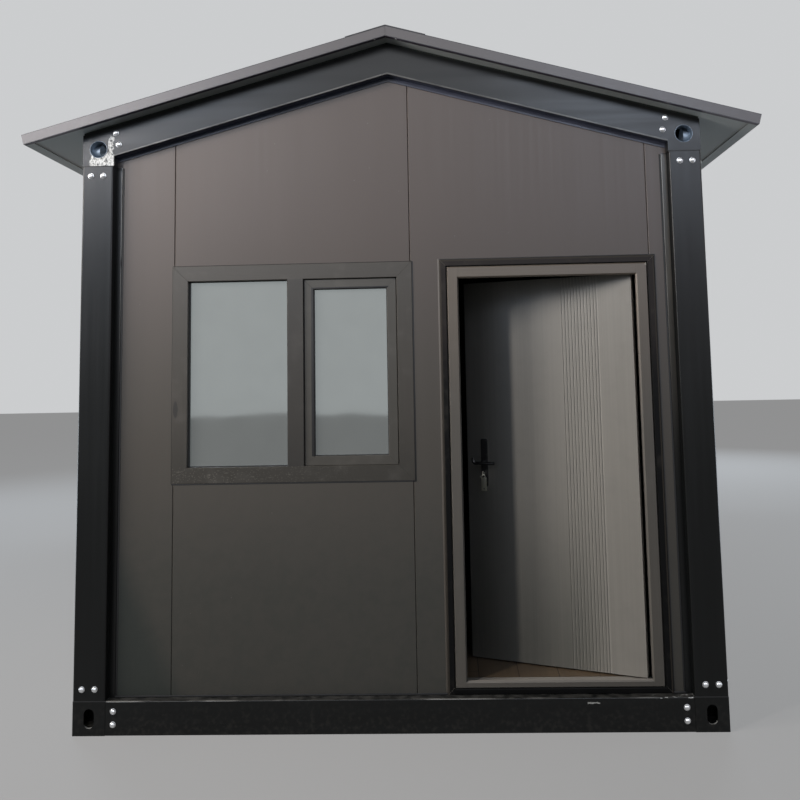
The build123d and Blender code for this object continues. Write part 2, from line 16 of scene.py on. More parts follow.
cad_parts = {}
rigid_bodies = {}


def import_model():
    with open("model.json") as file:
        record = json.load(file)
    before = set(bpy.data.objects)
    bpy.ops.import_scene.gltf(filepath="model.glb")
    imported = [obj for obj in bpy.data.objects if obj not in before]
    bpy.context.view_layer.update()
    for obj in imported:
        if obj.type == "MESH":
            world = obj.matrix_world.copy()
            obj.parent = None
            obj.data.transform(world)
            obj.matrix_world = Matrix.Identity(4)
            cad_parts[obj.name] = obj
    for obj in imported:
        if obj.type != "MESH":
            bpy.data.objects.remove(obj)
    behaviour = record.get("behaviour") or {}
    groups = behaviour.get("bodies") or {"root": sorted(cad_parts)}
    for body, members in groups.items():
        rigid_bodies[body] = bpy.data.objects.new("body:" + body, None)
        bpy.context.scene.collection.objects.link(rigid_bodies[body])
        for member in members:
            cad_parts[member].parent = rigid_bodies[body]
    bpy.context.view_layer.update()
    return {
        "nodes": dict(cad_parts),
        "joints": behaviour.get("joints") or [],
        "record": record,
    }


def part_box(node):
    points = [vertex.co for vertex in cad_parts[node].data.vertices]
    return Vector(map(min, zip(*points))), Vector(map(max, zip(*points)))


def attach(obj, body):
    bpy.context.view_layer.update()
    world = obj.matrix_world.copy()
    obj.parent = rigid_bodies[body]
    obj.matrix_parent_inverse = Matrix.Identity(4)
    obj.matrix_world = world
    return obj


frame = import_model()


def rounded(numbers):
    """Numbers as they are printed."""
    return [round(number, 3) for number in numbers]


# %% [markdown]
# ## Sizes read from the frame
# Every added piece sits on something, so its place is worked out from the box of the node that
# carries it. If the model changes, the bolts and seals move with it. The building is symmetric about
# its middle, so its sides and ends are the same distances with the opposite sign.

# %% Read the sizes of the frame and the door
def sides_of(node):
    """The outer sides of a node as left, right, low and high."""
    low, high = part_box(node)
    return low.x, high.x, low.z, high.z


castings_low, castings_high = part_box("base_castings")
front = castings_low.y
side = castings_high.x
base_top = castings_high.z
casting_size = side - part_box("base_beam_front")[1].x
post_low, post_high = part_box("post_front_right")
lip_inner = post_low.x
post_top = post_high.z
panel_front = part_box("front_wall_left")[0].y
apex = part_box("rafter_front_right")[1].z
roof_slope = radians(15.5)

door_profile = 0.057
threshold_height = 0.033
trim_left, trim_right, _, trim_head = sides_of("door_trim")
frame_left, frame_right, frame_foot, frame_head = sides_of("door_frame")
threshold_top = frame_foot + threshold_height
print("steel face, panel face and post top at", rounded((front, panel_front, post_top)))
print("door frame from", rounded((frame_left, frame_foot)), "to", rounded((frame_right, frame_head)))

# %% [markdown]
# ## Sizes of the window
# The window has a fixed light at the left, a sash at the right and a mullion between them. The back
# window is its mirror image on the other gable, so its sizes serve for both.

# %% Read the sizes of the window
window_profile = 0.075
sash_profile = 0.045
mullion_width = 0.078
mullion_gap = 0.003
window_left, window_right, window_low, window_high = sides_of("front_window_frame")
sash_left, sash_right, sash_low, sash_high = sides_of("front_window_sash")
mullion_right = sash_left - mullion_gap
mullion_left = mullion_right - mullion_width
print("window from", rounded((window_left, window_low)), "to", rounded((window_right, window_high)))

# %% [markdown]
# ## The camera
# The photo was taken from eye height, about 3.9 m in front of the gable and a little right of its
# middle, with the camera tipped up by some five degrees. The place and the angles were found by
# fitting about forty corners of the building, which is more exact than trying by eye. The picture
# was cropped, so its centre isn't the lens's centre: the two shift values say by how much.

# %% Place the camera
picture_size = 800.0
focal_length = 830.0
lens_centre = (423.6, 290.3)
sensor_width = 36.0
eye = Vector((0.276, front - 3.937, 1.652))
yaw, pitch, roll = radians(1.71), radians(5.38), radians(-1.12)

camera_data = bpy.data.cameras.new("camera")
camera_data.sensor_width = sensor_width
camera_data.lens = focal_length / picture_size * sensor_width
camera_data.shift_x = (picture_size / 2 - lens_centre[0]) / picture_size
camera_data.shift_y = (lens_centre[1] - picture_size / 2) / picture_size
camera = bpy.data.objects.new("camera", camera_data)
bpy.context.scene.collection.objects.link(camera)
tipped = Matrix.Rotation(pi / 2 + pitch, 4, "X") @ Matrix.Rotation(roll, 4, "Z")
camera.matrix_world = Matrix.Translation(eye) @ Matrix.Rotation(yaw, 4, "Z") @ tipped
bpy.context.scene.camera = camera
print("lens", round(camera_data.lens, 2), "mm at", rounded(eye))

# %% [markdown]
# ## One way to write shader maths
# A finish is a sum of small facts: a base colour, a little dust where water dries, a scratch here and
# there. Drawn as nodes, such a sum soon fills the screen. Written as Python it is one line, so a small
# class wraps a socket and turns + - * / into Math nodes.

# %% Wrap a socket so that it can be used in sums
class Value:
    """A number that changes over the surface."""

    def __init__(self, nodes, socket):
        self.nodes = nodes
        self.socket = socket

    def maths(self, operation, *values):
        return self.nodes.node("ShaderNodeMath", {"operation": operation}, dict(enumerate(values)))

    def __add__(self, other):
        return self.maths("ADD", self, other)

    def __radd__(self, other):
        return self.maths("ADD", other, self)

    def __sub__(self, other):
        return self.maths("SUBTRACT", self, other)

    def __rsub__(self, other):
        return self.maths("SUBTRACT", other, self)

    def __mul__(self, other):
        return self.maths("MULTIPLY", self, other)

    def __rmul__(self, other):
        return self.maths("MULTIPLY", other, self)

    def __truediv__(self, other):
        return self.maths("DIVIDE", self, other)

    def size(self):
        return self.maths("ABSOLUTE", self)

    def whole(self):
        return self.maths("FLOOR", self)

    def remainder(self, step):
        return self.maths("FLOORED_MODULO", self, step)

    def smaller(self, other):
        return self.maths("MINIMUM", self, other)

    def larger(self, other):
        return self.maths("MAXIMUM", self, other)

    def rising(self, low, high):
        """0 below low, 1 above high and smooth between; with low above high it falls instead."""
        return self.nodes.node("ShaderNodeMapRange", {"interpolation_type": "SMOOTHSTEP"},
                               {"Value": self, "From Min": low, "From Max": high})

    def near(self, middle, reach, soft):
        """1 within reach of the middle, fading to 0 over the soft distance."""
        return (self - middle).size().rising(reach + soft, reach)


print("sums are made by", [name for name in vars(Value) if not name.startswith("_")])

# %% [markdown]
# ## One way to make a node
# Every node is made in the same three steps: add it, choose its settings, then link its sockets or
# give them numbers. One method does that and hands back the wrapped output, so a node can be written
# where its value is needed.

# %% Make every other node
class Nodes:
    """The nodes of one tree, each made by the same method."""

    def __init__(self, tree):
        self.tree = tree

    def feed(self, socket, value):
        if isinstance(value, Value):
            self.tree.links.new(value.socket, socket)
        else:
            socket.default_value = value

    def node(self, kind, settings=None, sockets=None, output=0):
        made = self.tree.nodes.new(kind)
        for name, value in (settings or {}).items():
            setattr(made, name, value)
        for name, value in (sockets or {}).items():
            self.feed(made.inputs[name], value)
        return Value(self, made.outputs[output])


print("nodes are made by", [name for name in vars(Nodes) if not name.startswith("_")])

# %% [markdown]
# ## Making the nodes of a finish
# Colours are written as they look in the photo, from 0 to 255, and turned into the linear light that
# a renderer adds up. Each finish keeps two vectors at hand: the place on the object and the way the
# surface faces, both in the object's own space, so a pattern stays put when the door swings. The
# place is also kept as three numbers, and up says how far the surface faces upwards.

# %% Make the nodes of one material
def shade(red, green, blue):
    """A colour as it looks on a screen, as linear light."""
    return tuple(((c / 255 + 0.055) / 1.055) ** 2.4 for c in (red, green, blue)) + (1.0,)


class Finish(Nodes):
    """One material and the nodes that make it."""

    def __init__(self, name):
        self.material = bpy.data.materials.new(name)
        self.material.use_nodes = True
        super().__init__(self.material.node_tree)
        self.shader = self.tree.nodes["Principled BSDF"]
        self.place = self.node("ShaderNodeTexCoord", output="Object")
        self.facing = self.node("ShaderNodeTexCoord", output="Normal")
        self.across, self.depth, self.height = (self.part(self.place, axis) for axis in range(3))
        self.up = self.part(self.facing, 2)

    def surface(self, sockets):
        for name, value in sockets.items():
            self.feed(self.shader.inputs[name], value)
        return self.material

    def part(self, vector, axis):
        return self.node("ShaderNodeSeparateXYZ", sockets={"Vector": vector}, output=axis)

    def turned(self, angle, centre):
        """The place as seen from a centre in a frame turned by an angle about Z."""
        moved = self.node("ShaderNodeVectorMath", {"operation": "SUBTRACT"}, {0: self.place, 1: centre})
        return self.node("ShaderNodeMapping", sockets={"Vector": moved, "Rotation": (0, 0, -angle)})

    def noise(self, size, stretch=(1, 1, 1), detail=3, place=None):
        """Soft noise from 0 to 1, with patches about size metres across, longer where stretch is large."""
        scale = [1 / (size * s) for s in stretch]
        spot = self.node("ShaderNodeMapping", sockets={"Vector": place or self.place, "Scale": scale})
        return self.node("ShaderNodeTexNoise", sockets={"Vector": spot, "Scale": 1.0, "Detail": detail})

    def specks(self, pitch, size):
        """1 on scattered specks about size metres across, one to each pitch, and 0 between them."""
        scale = [1 / pitch] * 3
        spot = self.node("ShaderNodeMapping", sockets={"Vector": self.place, "Scale": scale})
        distance = self.node("ShaderNodeTexVoronoi", sockets={"Vector": spot, "Scale": 1.0})
        return distance.rising(size / pitch, size / pitch * 0.6)

    def mixed(self, share, first, second):
        """The first colour where share is 0 and the second where it is 1."""
        return self.node("ShaderNodeMix", {"data_type": "RGBA"}, {0: share, 6: first, 7: second}, output=2)

    def tinted(self, colour, share):
        """A colour made lighter or darker by a share that lies about 1."""
        grey = self.node("ShaderNodeCombineXYZ", sockets={0: share, 1: share, 2: share})
        return self.node("ShaderNodeMix", {"data_type": "RGBA", "blend_type": "MULTIPLY"},
                         {0: 1.0, 6: colour, 7: grey}, output=2)

    def bumped(self, height, depth):
        """A normal for a surface whose height goes from 0 to 1 over depth metres."""
        return self.node("ShaderNodeBump", sockets={"Height": height, "Distance": depth, "Strength": 1.0})


print("finishes are made by", [name for name in vars(Finish) if not name.startswith("_")])

# %% [markdown]
# ## The floor and the world
# The floor is pale for the camera and for reflections, but darker for scattered light, so that it
# doesn't light the building's foot too much. The world works in the same way. Each is a mix of two
# shaders, and the kind of ray that arrives decides which one it meets.

# %% Make the floor and the world
def empty_nodes(owner):
    """The nodes of a world or a material, with none left of those it starts with."""
    owner.use_nodes = True
    owner.node_tree.nodes.clear()
    return Nodes(owner.node_tree)


def plain(nodes, kind, colour):
    """A plain shader of one colour."""
    return nodes.node(kind, sockets={"Color": colour})


def two_sided(nodes, output, hidden, seen):
    """Light the scene with the hidden shader, and show the seen one to the camera, metal and glass."""
    from_camera, in_gloss, through_glass = (nodes.node("ShaderNodeLightPath", output=f"Is {ray} Ray")
                                            for ray in ("Camera", "Glossy", "Transmission"))
    looking = from_camera.larger(in_gloss).larger(through_glass)
    mix = nodes.node("ShaderNodeMixShader", sockets={0: looking, 1: hidden, 2: seen})
    nodes.feed(nodes.tree.nodes.new(output).inputs["Surface"], mix)


world = bpy.data.worlds.new("studio")
world_nodes = empty_nodes(world)
world_light = plain(world_nodes, "ShaderNodeBackground", (0.032, 0.037, 0.047, 1))
world_seen = plain(world_nodes, "ShaderNodeBackground", (0.60, 0.61, 0.62, 1))
two_sided(world_nodes, "ShaderNodeOutputWorld", world_light, world_seen)
bpy.context.scene.world = world

floor_paint = bpy.data.materials.new("studio_floor")
floor_nodes = empty_nodes(floor_paint)
floor_dark = plain(floor_nodes, "ShaderNodeBsdfDiffuse", (0.09, 0.09, 0.085, 1))
floor_glow = plain(floor_nodes, "ShaderNodeEmission", (0.27, 0.27, 0.27, 1))
floor_shaded = plain(floor_nodes, "ShaderNodeBsdfDiffuse", (0.20, 0.20, 0.20, 1))
floor_pale = floor_nodes.node("ShaderNodeAddShader", sockets={0: floor_glow, 1: floor_shaded})
two_sided(floor_nodes, "ShaderNodeOutputMaterial", floor_dark, floor_pale)

bpy.ops.object.select_all(action="DESELECT")
bpy.ops.mesh.primitive_plane_add(size=60)
floor = bpy.context.object
floor.name = "studio_floor"
floor.data.materials.append(floor_paint)
print("floor", rounded(floor.dimensions), "m and world ready")

# %% [markdown]
# ## The lamps
# On the real guesthouse the light comes from the front left and from high up, so the gable is lighter
# at the top, the open door is lit at its hinge side, and the frame shades its lock side. Two warm
# lamps at the upper left give the same fall of light, two low ones at the sides light the roof's
# underside, and two more light the back and the left side. Five cards give the enamel and the glass
# something to mirror: they show in the gloss only, not as light on the colours.

# %% Hang the lamps
def soft_lamp(name, place, aim, size, power, colour):
    """A rectangular lamp that shines from a place towards an aim; size is its width and height."""
    lamp_data = bpy.data.lights.new(name, "AREA")
    lamp_data.shape = "RECTANGLE"
    lamp_data.size, lamp_data.size_y = size
    lamp_data.energy = power
    lamp_data.color = colour
    lamp = bpy.data.objects.new(name, lamp_data)
    bpy.context.scene.collection.objects.link(lamp)
    lamp.location = place
    lamp.rotation_euler = (Vector(aim) - Vector(place)).to_track_quat("-Z", "Y").to_euler()
    return lamp


warm_white = (1.0, 0.93, 0.88)
cool_white = (0.80, 0.90, 1.0)
pale_white = (0.95, 0.96, 1.0)
sky_blue = (0.66, 0.79, 1.0)
lilac = (0.90, 0.86, 1.0)
soft_lamp("key_lamp", (-3.06, front - 3.2, 4.7), (0.5, front, 4.4), (0.35, 2.2), 94, warm_white)
soft_lamp("door_lamp", (-4.7, front - 1.9, 3.55), (0.8, front, 4.6), (2.2, 1.6), 185, warm_white)
soft_lamp("left_bounce", (-6.0, front + 1.5, 0.5), (-1.7, front + 0.6, 2.8), (2.5, 2.5), 135, cool_white)
soft_lamp("right_bounce", (6.0, front + 1.5, 0.5), (1.7, front + 0.6, 2.8), (2.5, 2.5), 135, cool_white)
soft_lamp("back_lamp", (5.0, 8.0, 5.0), (0, 0, 1.5), (4.0, 4.0), 450, cool_white)
soft_lamp("side_lamp", (-6.5, 4.0, 5.0), (-1.5, 0, 1.5), (3.5, 3.5), 250, cool_white)
cards = [
    soft_lamp("wide_card", (0.2, front - 7.0, 5.6), (0, front, 2.7), (10, 2.4), 210, pale_white),
    soft_lamp("high_left_card", (-3.5, front - 6.0, 4.7), (-1.2, front, 2.8), (3.2, 1.6), 85, sky_blue),
    soft_lamp("high_right_card", (2.4, front - 6.0, 4.7), (1.2, front, 2.8), (2.2, 1.4), 75, sky_blue),
    soft_lamp("right_card", (5.5, front - 5.0, 4.2), (0, front, 2.7), (4, 3), 80, lilac),
    soft_lamp("left_card", (-5.5, front - 5.0, 4.2), (0, front, 2.7), (4, 3), 60, sky_blue),
]
for card in cards:
    card.visible_diffuse = False

bpy.context.scene.view_settings.view_transform = "Standard"
lamp_count = sum(thing.type == "LIGHT" for thing in bpy.data.objects)
print("studio ready with", lamp_count, "lamps,", len(cards), "of them cards")

# %% [markdown]
# ## Coated wall panels
# The skin of a sandwich panel is thin steel, coated before it is rolled to shape. It is satin, not
# matt: it shows faint lines along the rolling direction, a slight waviness where the foam has
# pulled the sheet in, handling marks, and dust near the floor. The colour barely changes, the gloss
# changes more, and that is what makes it read as sheet metal. The upper part is painted a little
# warmer, a painted tint of the light from above. Towards the bottom and the left the sheet is
# darker and greener: splashed dirt together with painted shade and a painted green reflection. A
# dark painted shadow lies at the foot of the left corner.

# %% Finish for the wall panels
def wall_panel_finish():
    finish = Finish("wall_panel_sheet")
    across, height = finish.across, finish.height
    clouds = finish.noise(0.9, detail=4)
    rolled = finish.noise(0.012, (1, 1, 90), detail=2)
    wide_lines = finish.noise(0.05, (1, 1, 40), detail=2)
    peel = finish.noise(0.0025)
    dents = finish.noise(0.45, (1, 1, 2.2), detail=1)
    splashes = finish.noise(0.05, detail=6)
    dirt_and_shade_low, splash_high, corner_shadow_high = base_top + 0.4, base_top + 1.2, base_top + 1.3
    # Darker and greener towards the bottom and the left: splashed dirt, painted shade and a painted green
    # reflection.
    splashed_and_shaded = height.rising(splash_high, dirt_and_shade_low) * (0.56 + splashes.rising(0.30, 0.80) * 0.20)
    dirt_and_shade = splashed_and_shaded * (0.70 + across.rising(1.2, 0.4) * 0.30)
    # A dark green painted shadow at the foot of the left corner.
    corner = (across + height * 0.45).rising(-0.87, -1.03) * finish.depth.rising(0, front)
    corner_shadow = corner * height.rising(corner_shadow_high, dirt_and_shade_low)
    lint = finish.specks(0.11, 0.0035)
    tone = 0.90 + clouds * 0.10 + rolled * 0.07 + wide_lines * 0.05
    # Painted a little warmer towards the top: a painted tint of the light from above.
    sheet_colour_lit_top = finish.mixed(height.rising(1.4, 2.5), shade(84, 79, 71), shade(90, 79, 72))
    colour = finish.tinted(sheet_colour_lit_top, tone)
    colour = finish.mixed(dirt_and_shade * 0.85, colour, shade(40, 45, 37))
    colour = finish.mixed(corner_shadow * 0.85, colour, shade(18, 28, 18))
    colour = finish.mixed(lint * 0.25, colour, shade(150, 146, 140))
    rough = 0.40 + rolled * 0.10 + clouds * 0.08 + dirt_and_shade * 0.25
    relief = finish.bumped(dents * 0.8 + wide_lines * 0.04 + peel * 0.015, 0.006)
    return finish.surface({"Base Color": colour, "Roughness": rough,
                           "Normal": relief, "Specular IOR Level": 0.55})


wall_panel_sheet = wall_panel_finish()
print(wall_panel_sheet.name, "has", len(wall_panel_sheet.node_tree.nodes), "nodes")

# %% [markdown]
# ## Black enamel on the frame
# Posts, beams and rafters are bent steel, sprayed with glossy black enamel. Under it is zinc, which
# shows where a sling or a spanner has knocked the paint off. The sheet's slight waves run along the
# piece, so the same finish is made once for each direction and stretched along it.

# %% Finish for the black steel
def enamel_finish(name, stretch, wear_and_highlights=None, film=None, seams=None, painted_light_colour=shade(108, 105, 98)):
    """Glossy enamel, streaked along the piece; where given, wear with painted highlights, painted light and
    dark seams.
    """
    finish = Finish(name)
    clouds = finish.noise(0.35, detail=4)
    streaks = finish.noise(0.03, stretch, detail=3)
    ripple = finish.noise(0.10, stretch, detail=1)
    peel = finish.noise(0.0035)
    dust = finish.up.rising(0.35, 0.95) * finish.noise(0.04, detail=5).rising(0.25, 0.7)
    mud = finish.height.rising(0.20, 0.0) * finish.noise(0.02, detail=6).rising(0.45, 0.75)
    chips_and_highlights = finish.specks(0.16, 0.004) * finish.noise(0.5).rising(0.52, 0.62)
    # Marks add wear, and on some pieces a painted highlight.
    if wear_and_highlights:
        chips_and_highlights = chips_and_highlights.larger(wear_and_highlights(finish))
    colour = finish.tinted(shade(14, 16, 16), 0.75 + clouds * 0.35 + streaks * 0.25)
    colour = finish.mixed(dust * 0.38, colour, shade(104, 103, 98))
    colour = finish.mixed(mud * 0.22, colour, shade(74, 70, 62))
    # The film is painted light: a paler, lit colour where given.
    if film:
        colour = finish.mixed(film(finish), colour, painted_light_colour)
    if seams:
        colour = finish.mixed(seams(finish), colour, shade(3, 3, 4))
    colour = finish.mixed(chips_and_highlights, colour, shade(176, 176, 172))
    relief = finish.bumped(ripple * 0.6 + streaks * 0.06 + peel * 0.012 - chips_and_highlights * 0.05, 0.004)
    rough = 0.20 + streaks * 0.16 + clouds * 0.08 + dust * 0.35 + mud * 0.3 + chips_and_highlights * 0.15
    return finish.surface({"Base Color": colour, "Roughness": rough, "Metallic": chips_and_highlights * 0.6,
                           "Normal": relief, "Specular IOR Level": 0.29})


enamel_sides = enamel_finish("enamel_sides", (1, 30, 1))
print(enamel_sides.name, "has", len(enamel_sides.node_tree.nodes), "nodes")

# %% [markdown]
# ## Wear and painted light on the posts
# A bright line runs down the edge of a post's lip: paint worn thin, with a painted highlight that is
# strongest in the upper part, where more light falls. The right posts' lips are painted paler, most
# at the top: painted light where the light from the left reaches them; the left lips stay in shade.
# A post is set between its castings, and a dark joint shows at each end.

# %% Finish for the posts
# Worn paint on the lip's edge with a painted highlight, strongest high up where the light falls.
def lip_wear_and_highlight(finish):
    uneven = finish.noise(0.02, (1, 1, 6), detail=2).rising(0.20, 0.45)
    on_front = finish.depth.size().near(-panel_front, 0.004, 0.002)
    on_edge = finish.across.size().near(lip_inner, 0.0028, 0.0012) * on_front
    return on_edge * uneven * finish.height.rising(1.3, 2.2) * 0.7


# Painted light: the right posts' lips are paler, most at the top, where the light from the left reaches them.
def lit_right_lips(finish):
    lip_width = 0.024
    patchy = finish.noise(0.05, (1, 1, 5), detail=4).rising(0.30, 0.60)
    on_front = finish.depth.size().near(-panel_front, 0.006, 0.002)
    on_lip = finish.across.size().near(lip_inner + lip_width / 2, lip_width / 2, 0.003) * on_front
    right_lip = on_lip * finish.across.rising(-0.1, 0.1)
    return right_lip * finish.height.rising(1.0, 2.3) * (0.55 + patchy * 0.35)


def post_seams(finish):
    top_seam = finish.height.rising(post_top - 0.006, post_top - 0.002)
    foot_seam = finish.height.rising(base_top + 0.003, base_top + 0.001)
    return top_seam + foot_seam


enamel_posts = enamel_finish("enamel_posts", (1, 1, 30), lip_wear_and_highlight, lit_right_lips, post_seams)
print(enamel_posts.name, "has", len(enamel_posts.node_tree.nodes), "nodes")

# %% [markdown]
# ## Painted light on the rafters
# A rafter's lip, behind its front face, lies in shade, and a bluish painted light lifts it out of the
# black. A painted highlight runs along the bend at the lower edge, as a light line. A rafter runs down
# the roof slope, so the line is placed by the distance square to that slope.

# %% Finish for the steel of the gables
rafter_bend_out = -0.1405


def off_slope(finish):
    """The distance above the plane of the rafters' upper edges, square to the slope."""
    return (finish.height - apex) * cos(roof_slope) + finish.across.size() * sin(roof_slope)


# Painted light: a bluish colour lifts the shaded lip and step behind the front face.
def rafter_lip_light(finish):
    patchy = finish.noise(0.08, (4, 1, 1), detail=4).rising(0.30, 0.60)
    return finish.depth.size().rising(-front - 0.004, -front - 0.012) * (0.60 + patchy * 0.30)


# A painted highlight along the bend at the lower edge.
def rafter_bend_highlight(finish):
    on_face = finish.depth.size().rising(-front - 0.006, -front - 0.003)
    uneven = finish.noise(0.05, (4, 1, 1), detail=3).rising(0.30, 0.60)
    return off_slope(finish).near(rafter_bend_out, 0.0035, 0.0025) * on_face * (0.10 + uneven * 0.15)


enamel_gables = enamel_finish("enamel_gables", (30, 1, 1), rafter_bend_highlight, rafter_lip_light,
                              painted_light_colour=shade(90, 96, 116))
print(enamel_gables.name, "has", len(enamel_gables.node_tree.nodes), "nodes")

# %% [markdown]
# ## The front beam's knocks
# The beam under the door takes every boot and trolley. The photo shows one bright dash under the
# doorway, a little right of its middle, and a cluster of small chips near the right corner. They are
# placed one by one, since a knock has a cause and isn't spread at random.

# %% Finish for the front beam
dash_across, dash_height = 0.893, 0.136
flakes_across = 1.27


def beam_knocks_and_highlight(finish):
    across, depth, height = finish.across, finish.depth, finish.height
    on_front = depth.rising(front + 0.012, front + 0.006)
    ragged = finish.noise(0.012, detail=4) * 0.012
    dash = across.near(dash_across, 0.026, 0.004) * (height + ragged).near(dash_height, 0.0025, 0.0015)
    corner = across.near(flakes_across, 0.085, 0.03) * height.rising(base_top - 0.010, base_top - 0.001)
    flaked = finish.noise(0.016, (2, 1, 1), detail=9).rising(0.55, 0.58)
    flakes = corner * flaked * depth.rising(front + 0.04, front + 0.03)
    # The light line along the top edge is uneven wear with a painted highlight of the rounded edge.
    worn = finish.noise(0.05, (6, 1, 1)).rising(0.46, 0.6)
    edge = height.rising(base_top - 0.004, base_top - 0.0015) * worn
    return (dash + edge * 0.5) * on_front + flakes


enamel_front_beam = enamel_finish("enamel_front_beam", (30, 1, 1), beam_knocks_and_highlight)
print("dash at", dash_across, "and flakes at", flakes_across)

# %% [markdown]
# ## Scrapes on the castings
# A lifting sling has scraped the left top casting below its hole, down to the zinc. At the base, the
# slots' lower rims and the top edges are bright: patchy wear with painted highlights where light from
# above falls on them. A scrape is torn at its rim and has fine strokes inside, so its patch is
# multiplied by noise at three sizes.

# %% Finish for the castings
slot_half_height = 0.043


def sling_scrapes(finish):
    from_side = finish.across + side
    from_joint = finish.height - post_top
    drift = (finish.noise(0.03, detail=4) - 0.5) * 0.05

    def patch(middle, reach, soft):
        """One scraped patch; its middle, half sizes and soft edges are given across and in height."""
        wide = (from_side + drift).near(middle[0], reach[0], soft[0])
        return wide * (from_joint + drift).near(middle[1], reach[1], soft[1])

    under_hole = patch((0.096, 0.030), (0.050, 0.026), (0.012, 0.010))
    beside_hole = patch((0.138, 0.095), (0.010, 0.040), (0.006, 0.015))
    on_front = finish.depth.rising(front + 0.02, front + 0.012)
    torn = finish.noise(0.016, detail=9).rising(0.36, 0.46)
    strokes = finish.noise(0.005, (1, 1, 2.5), detail=6).rising(0.38, 0.58)
    fine = finish.noise(0.0022, detail=3).rising(0.35, 0.60)
    above_joint = from_joint.rising(0.000, 0.003)
    bare = torn * (0.15 + strokes * 0.55 + fine * 0.3)
    return under_hole.larger(beside_hole) * on_front * above_joint * bare


def casting_wear_and_highlights(finish):
    across, depth = finish.across.size(), finish.depth.size()
    rim_height = base_top / 2 - slot_half_height + 0.007
    # Painted highlights on the slots' upward-facing lower rims, on patchy wear.
    lit_rim = finish.height.near(rim_height, 0.009, 0.003) * finish.up.rising(0.30, 0.60)
    near_face = depth.rising(-front - 0.012, -front - 0.009).larger(across.rising(side - 0.012, side - 0.009))
    patchy = finish.noise(0.03, detail=3).rising(0.30, 0.50)
    uneven = finish.noise(0.05, (5, 5, 1)).rising(0.40, 0.60)
    # A painted highlight along the top edge, on uneven wear.
    top_edge = finish.height.near(base_top, 0.0016, 0.0008) * uneven
    return sling_scrapes(finish).larger(lit_rim * near_face * patchy * 0.8).larger(top_edge * 0.6)


enamel_castings = enamel_finish("enamel_castings", (2, 2, 2), casting_wear_and_highlights)
print("castings scraped within", round(casting_size, 3), "m of the left corner")

# %% [markdown]
# ## Grey parts of the door and window
# The window and the dark trim round the door are coated profiles, mitred at their corners. The door's
# frame is butted: its jambs run full height and the head sits between them. All have fine lines along
# the profile. The lines turn the corner with it, so the finish picks one direction in the uprights and
# the other in the head and the sill, and draws the hairline joint where the two meet. What one profile
# has and the others don't, such as a worn threshold, is a layer: a function that paints on the coat.

# %% Finish for frames round an opening
hairline_dark = (0.18, shade(28, 28, 27))
hairline_bright = (0.65, shade(150, 148, 142))


def profile_finish(name, colour, node, profile, roughness, layers=(), butted=False, painted_top_light=None, gloss=0.5,
                   hairline=hairline_dark):
    """Coated profiles round an opening, with the node's outer sides. The upper part's colour, which is
    painted light, and the heights between which it fades in come as one triple; hairline gives the
    strength and colour of the joints."""
    left, right, low, high = sides_of(node)
    finish = Finish(name)
    to_side = (finish.across - left).smaller(right - finish.across)
    to_end = (finish.height - low).smaller(high - finish.height)
    if butted:
        from_joint = profile - to_side
        in_corner = to_end.rising(profile + 0.004, profile)
    else:
        from_joint = to_end - to_side
        in_corner = to_side.rising(profile + 0.004, profile)
    upright = from_joint.rising(-0.0004, 0.0004)
    joint = from_joint.near(0, 0.0005, 0.0005) * in_corner
    lines_up = finish.noise(0.004, (1, 1, 60), detail=2)
    lines_along = finish.noise(0.004, (60, 1, 1), detail=2)
    lines = lines_up * upright + lines_along * (1 - upright)
    clouds = finish.noise(0.4, detail=4)
    smears = finish.noise(0.08, detail=6).rising(0.50, 0.80)
    # The upper part is painted paler: painted light from above.
    if painted_top_light:
        upper_colour, fade_low, fade_high = painted_top_light
        colour = finish.mixed(finish.height.rising(fade_low, fade_high), colour, upper_colour)
    paint = finish.tinted(colour, 0.86 + lines * 0.16 + clouds * 0.12)
    paint = finish.mixed(smears * 0.12, paint, shade(140, 136, 128))
    for layer in layers:
        paint = layer(finish, paint, lines)
    strength, joint_colour = hairline
    paint = finish.mixed(joint * strength, paint, joint_colour)
    relief = finish.bumped(lines * 0.05 - joint * 0.4 + clouds * 0.1, 0.002)
    return finish.surface({"Base Color": paint, "Roughness": roughness + lines * 0.10 + smears * 0.12,
                           "Normal": relief, "Specular IOR Level": gloss})


sash_coat = profile_finish("sash_coat", shade(90, 88, 82), "front_window_sash", sash_profile, 0.36)
print(sash_coat.name, "has", len(sash_coat.node_tree.nodes), "nodes")

# %% [markdown]
# ## The window's marks
# A dark rubbed mark sits on the left profile, at the height where the window is carried. The mullion
# is the sashes' meeting rail; it lies deeper than the frame and is painted darker as painted shade.
# Dust and grit lie on the lower rail, most at the left, with their pale paint partly painted light
# that the rail catches from below. The back window has the darker mullion only.

# %% Finish for the two window frames
scuff_across, scuff_height = -1.047, 1.478
scuff_half_width, scuff_half_height = 0.014, 0.046
rubbed_and_shaded = shade(38, 36, 34)


def hand_scuff(finish, paint, lines):
    across = finish.across - scuff_across
    height = finish.height - scuff_height
    ragged = finish.noise(0.02, detail=5) * 0.6
    reach = across * across / scuff_half_width ** 2 + height * height / scuff_half_height ** 2
    return finish.mixed((reach + ragged).rising(1.2, 0.7) * 0.7, paint, rubbed_and_shaded)


# Painted shade: the mullion lies deeper than the frame, so it is painted darker.
def shaded_mullion(finish, paint, lines):
    half_height = (window_high - window_low) / 2 - window_profile
    between_rails = finish.height.near((window_low + window_high) / 2, half_height, 0.001)
    on_mullion = finish.across.near((mullion_left + mullion_right) / 2, mullion_width / 2, 0.001)
    return finish.mixed(on_mullion * between_rails * 0.42, paint, rubbed_and_shaded)


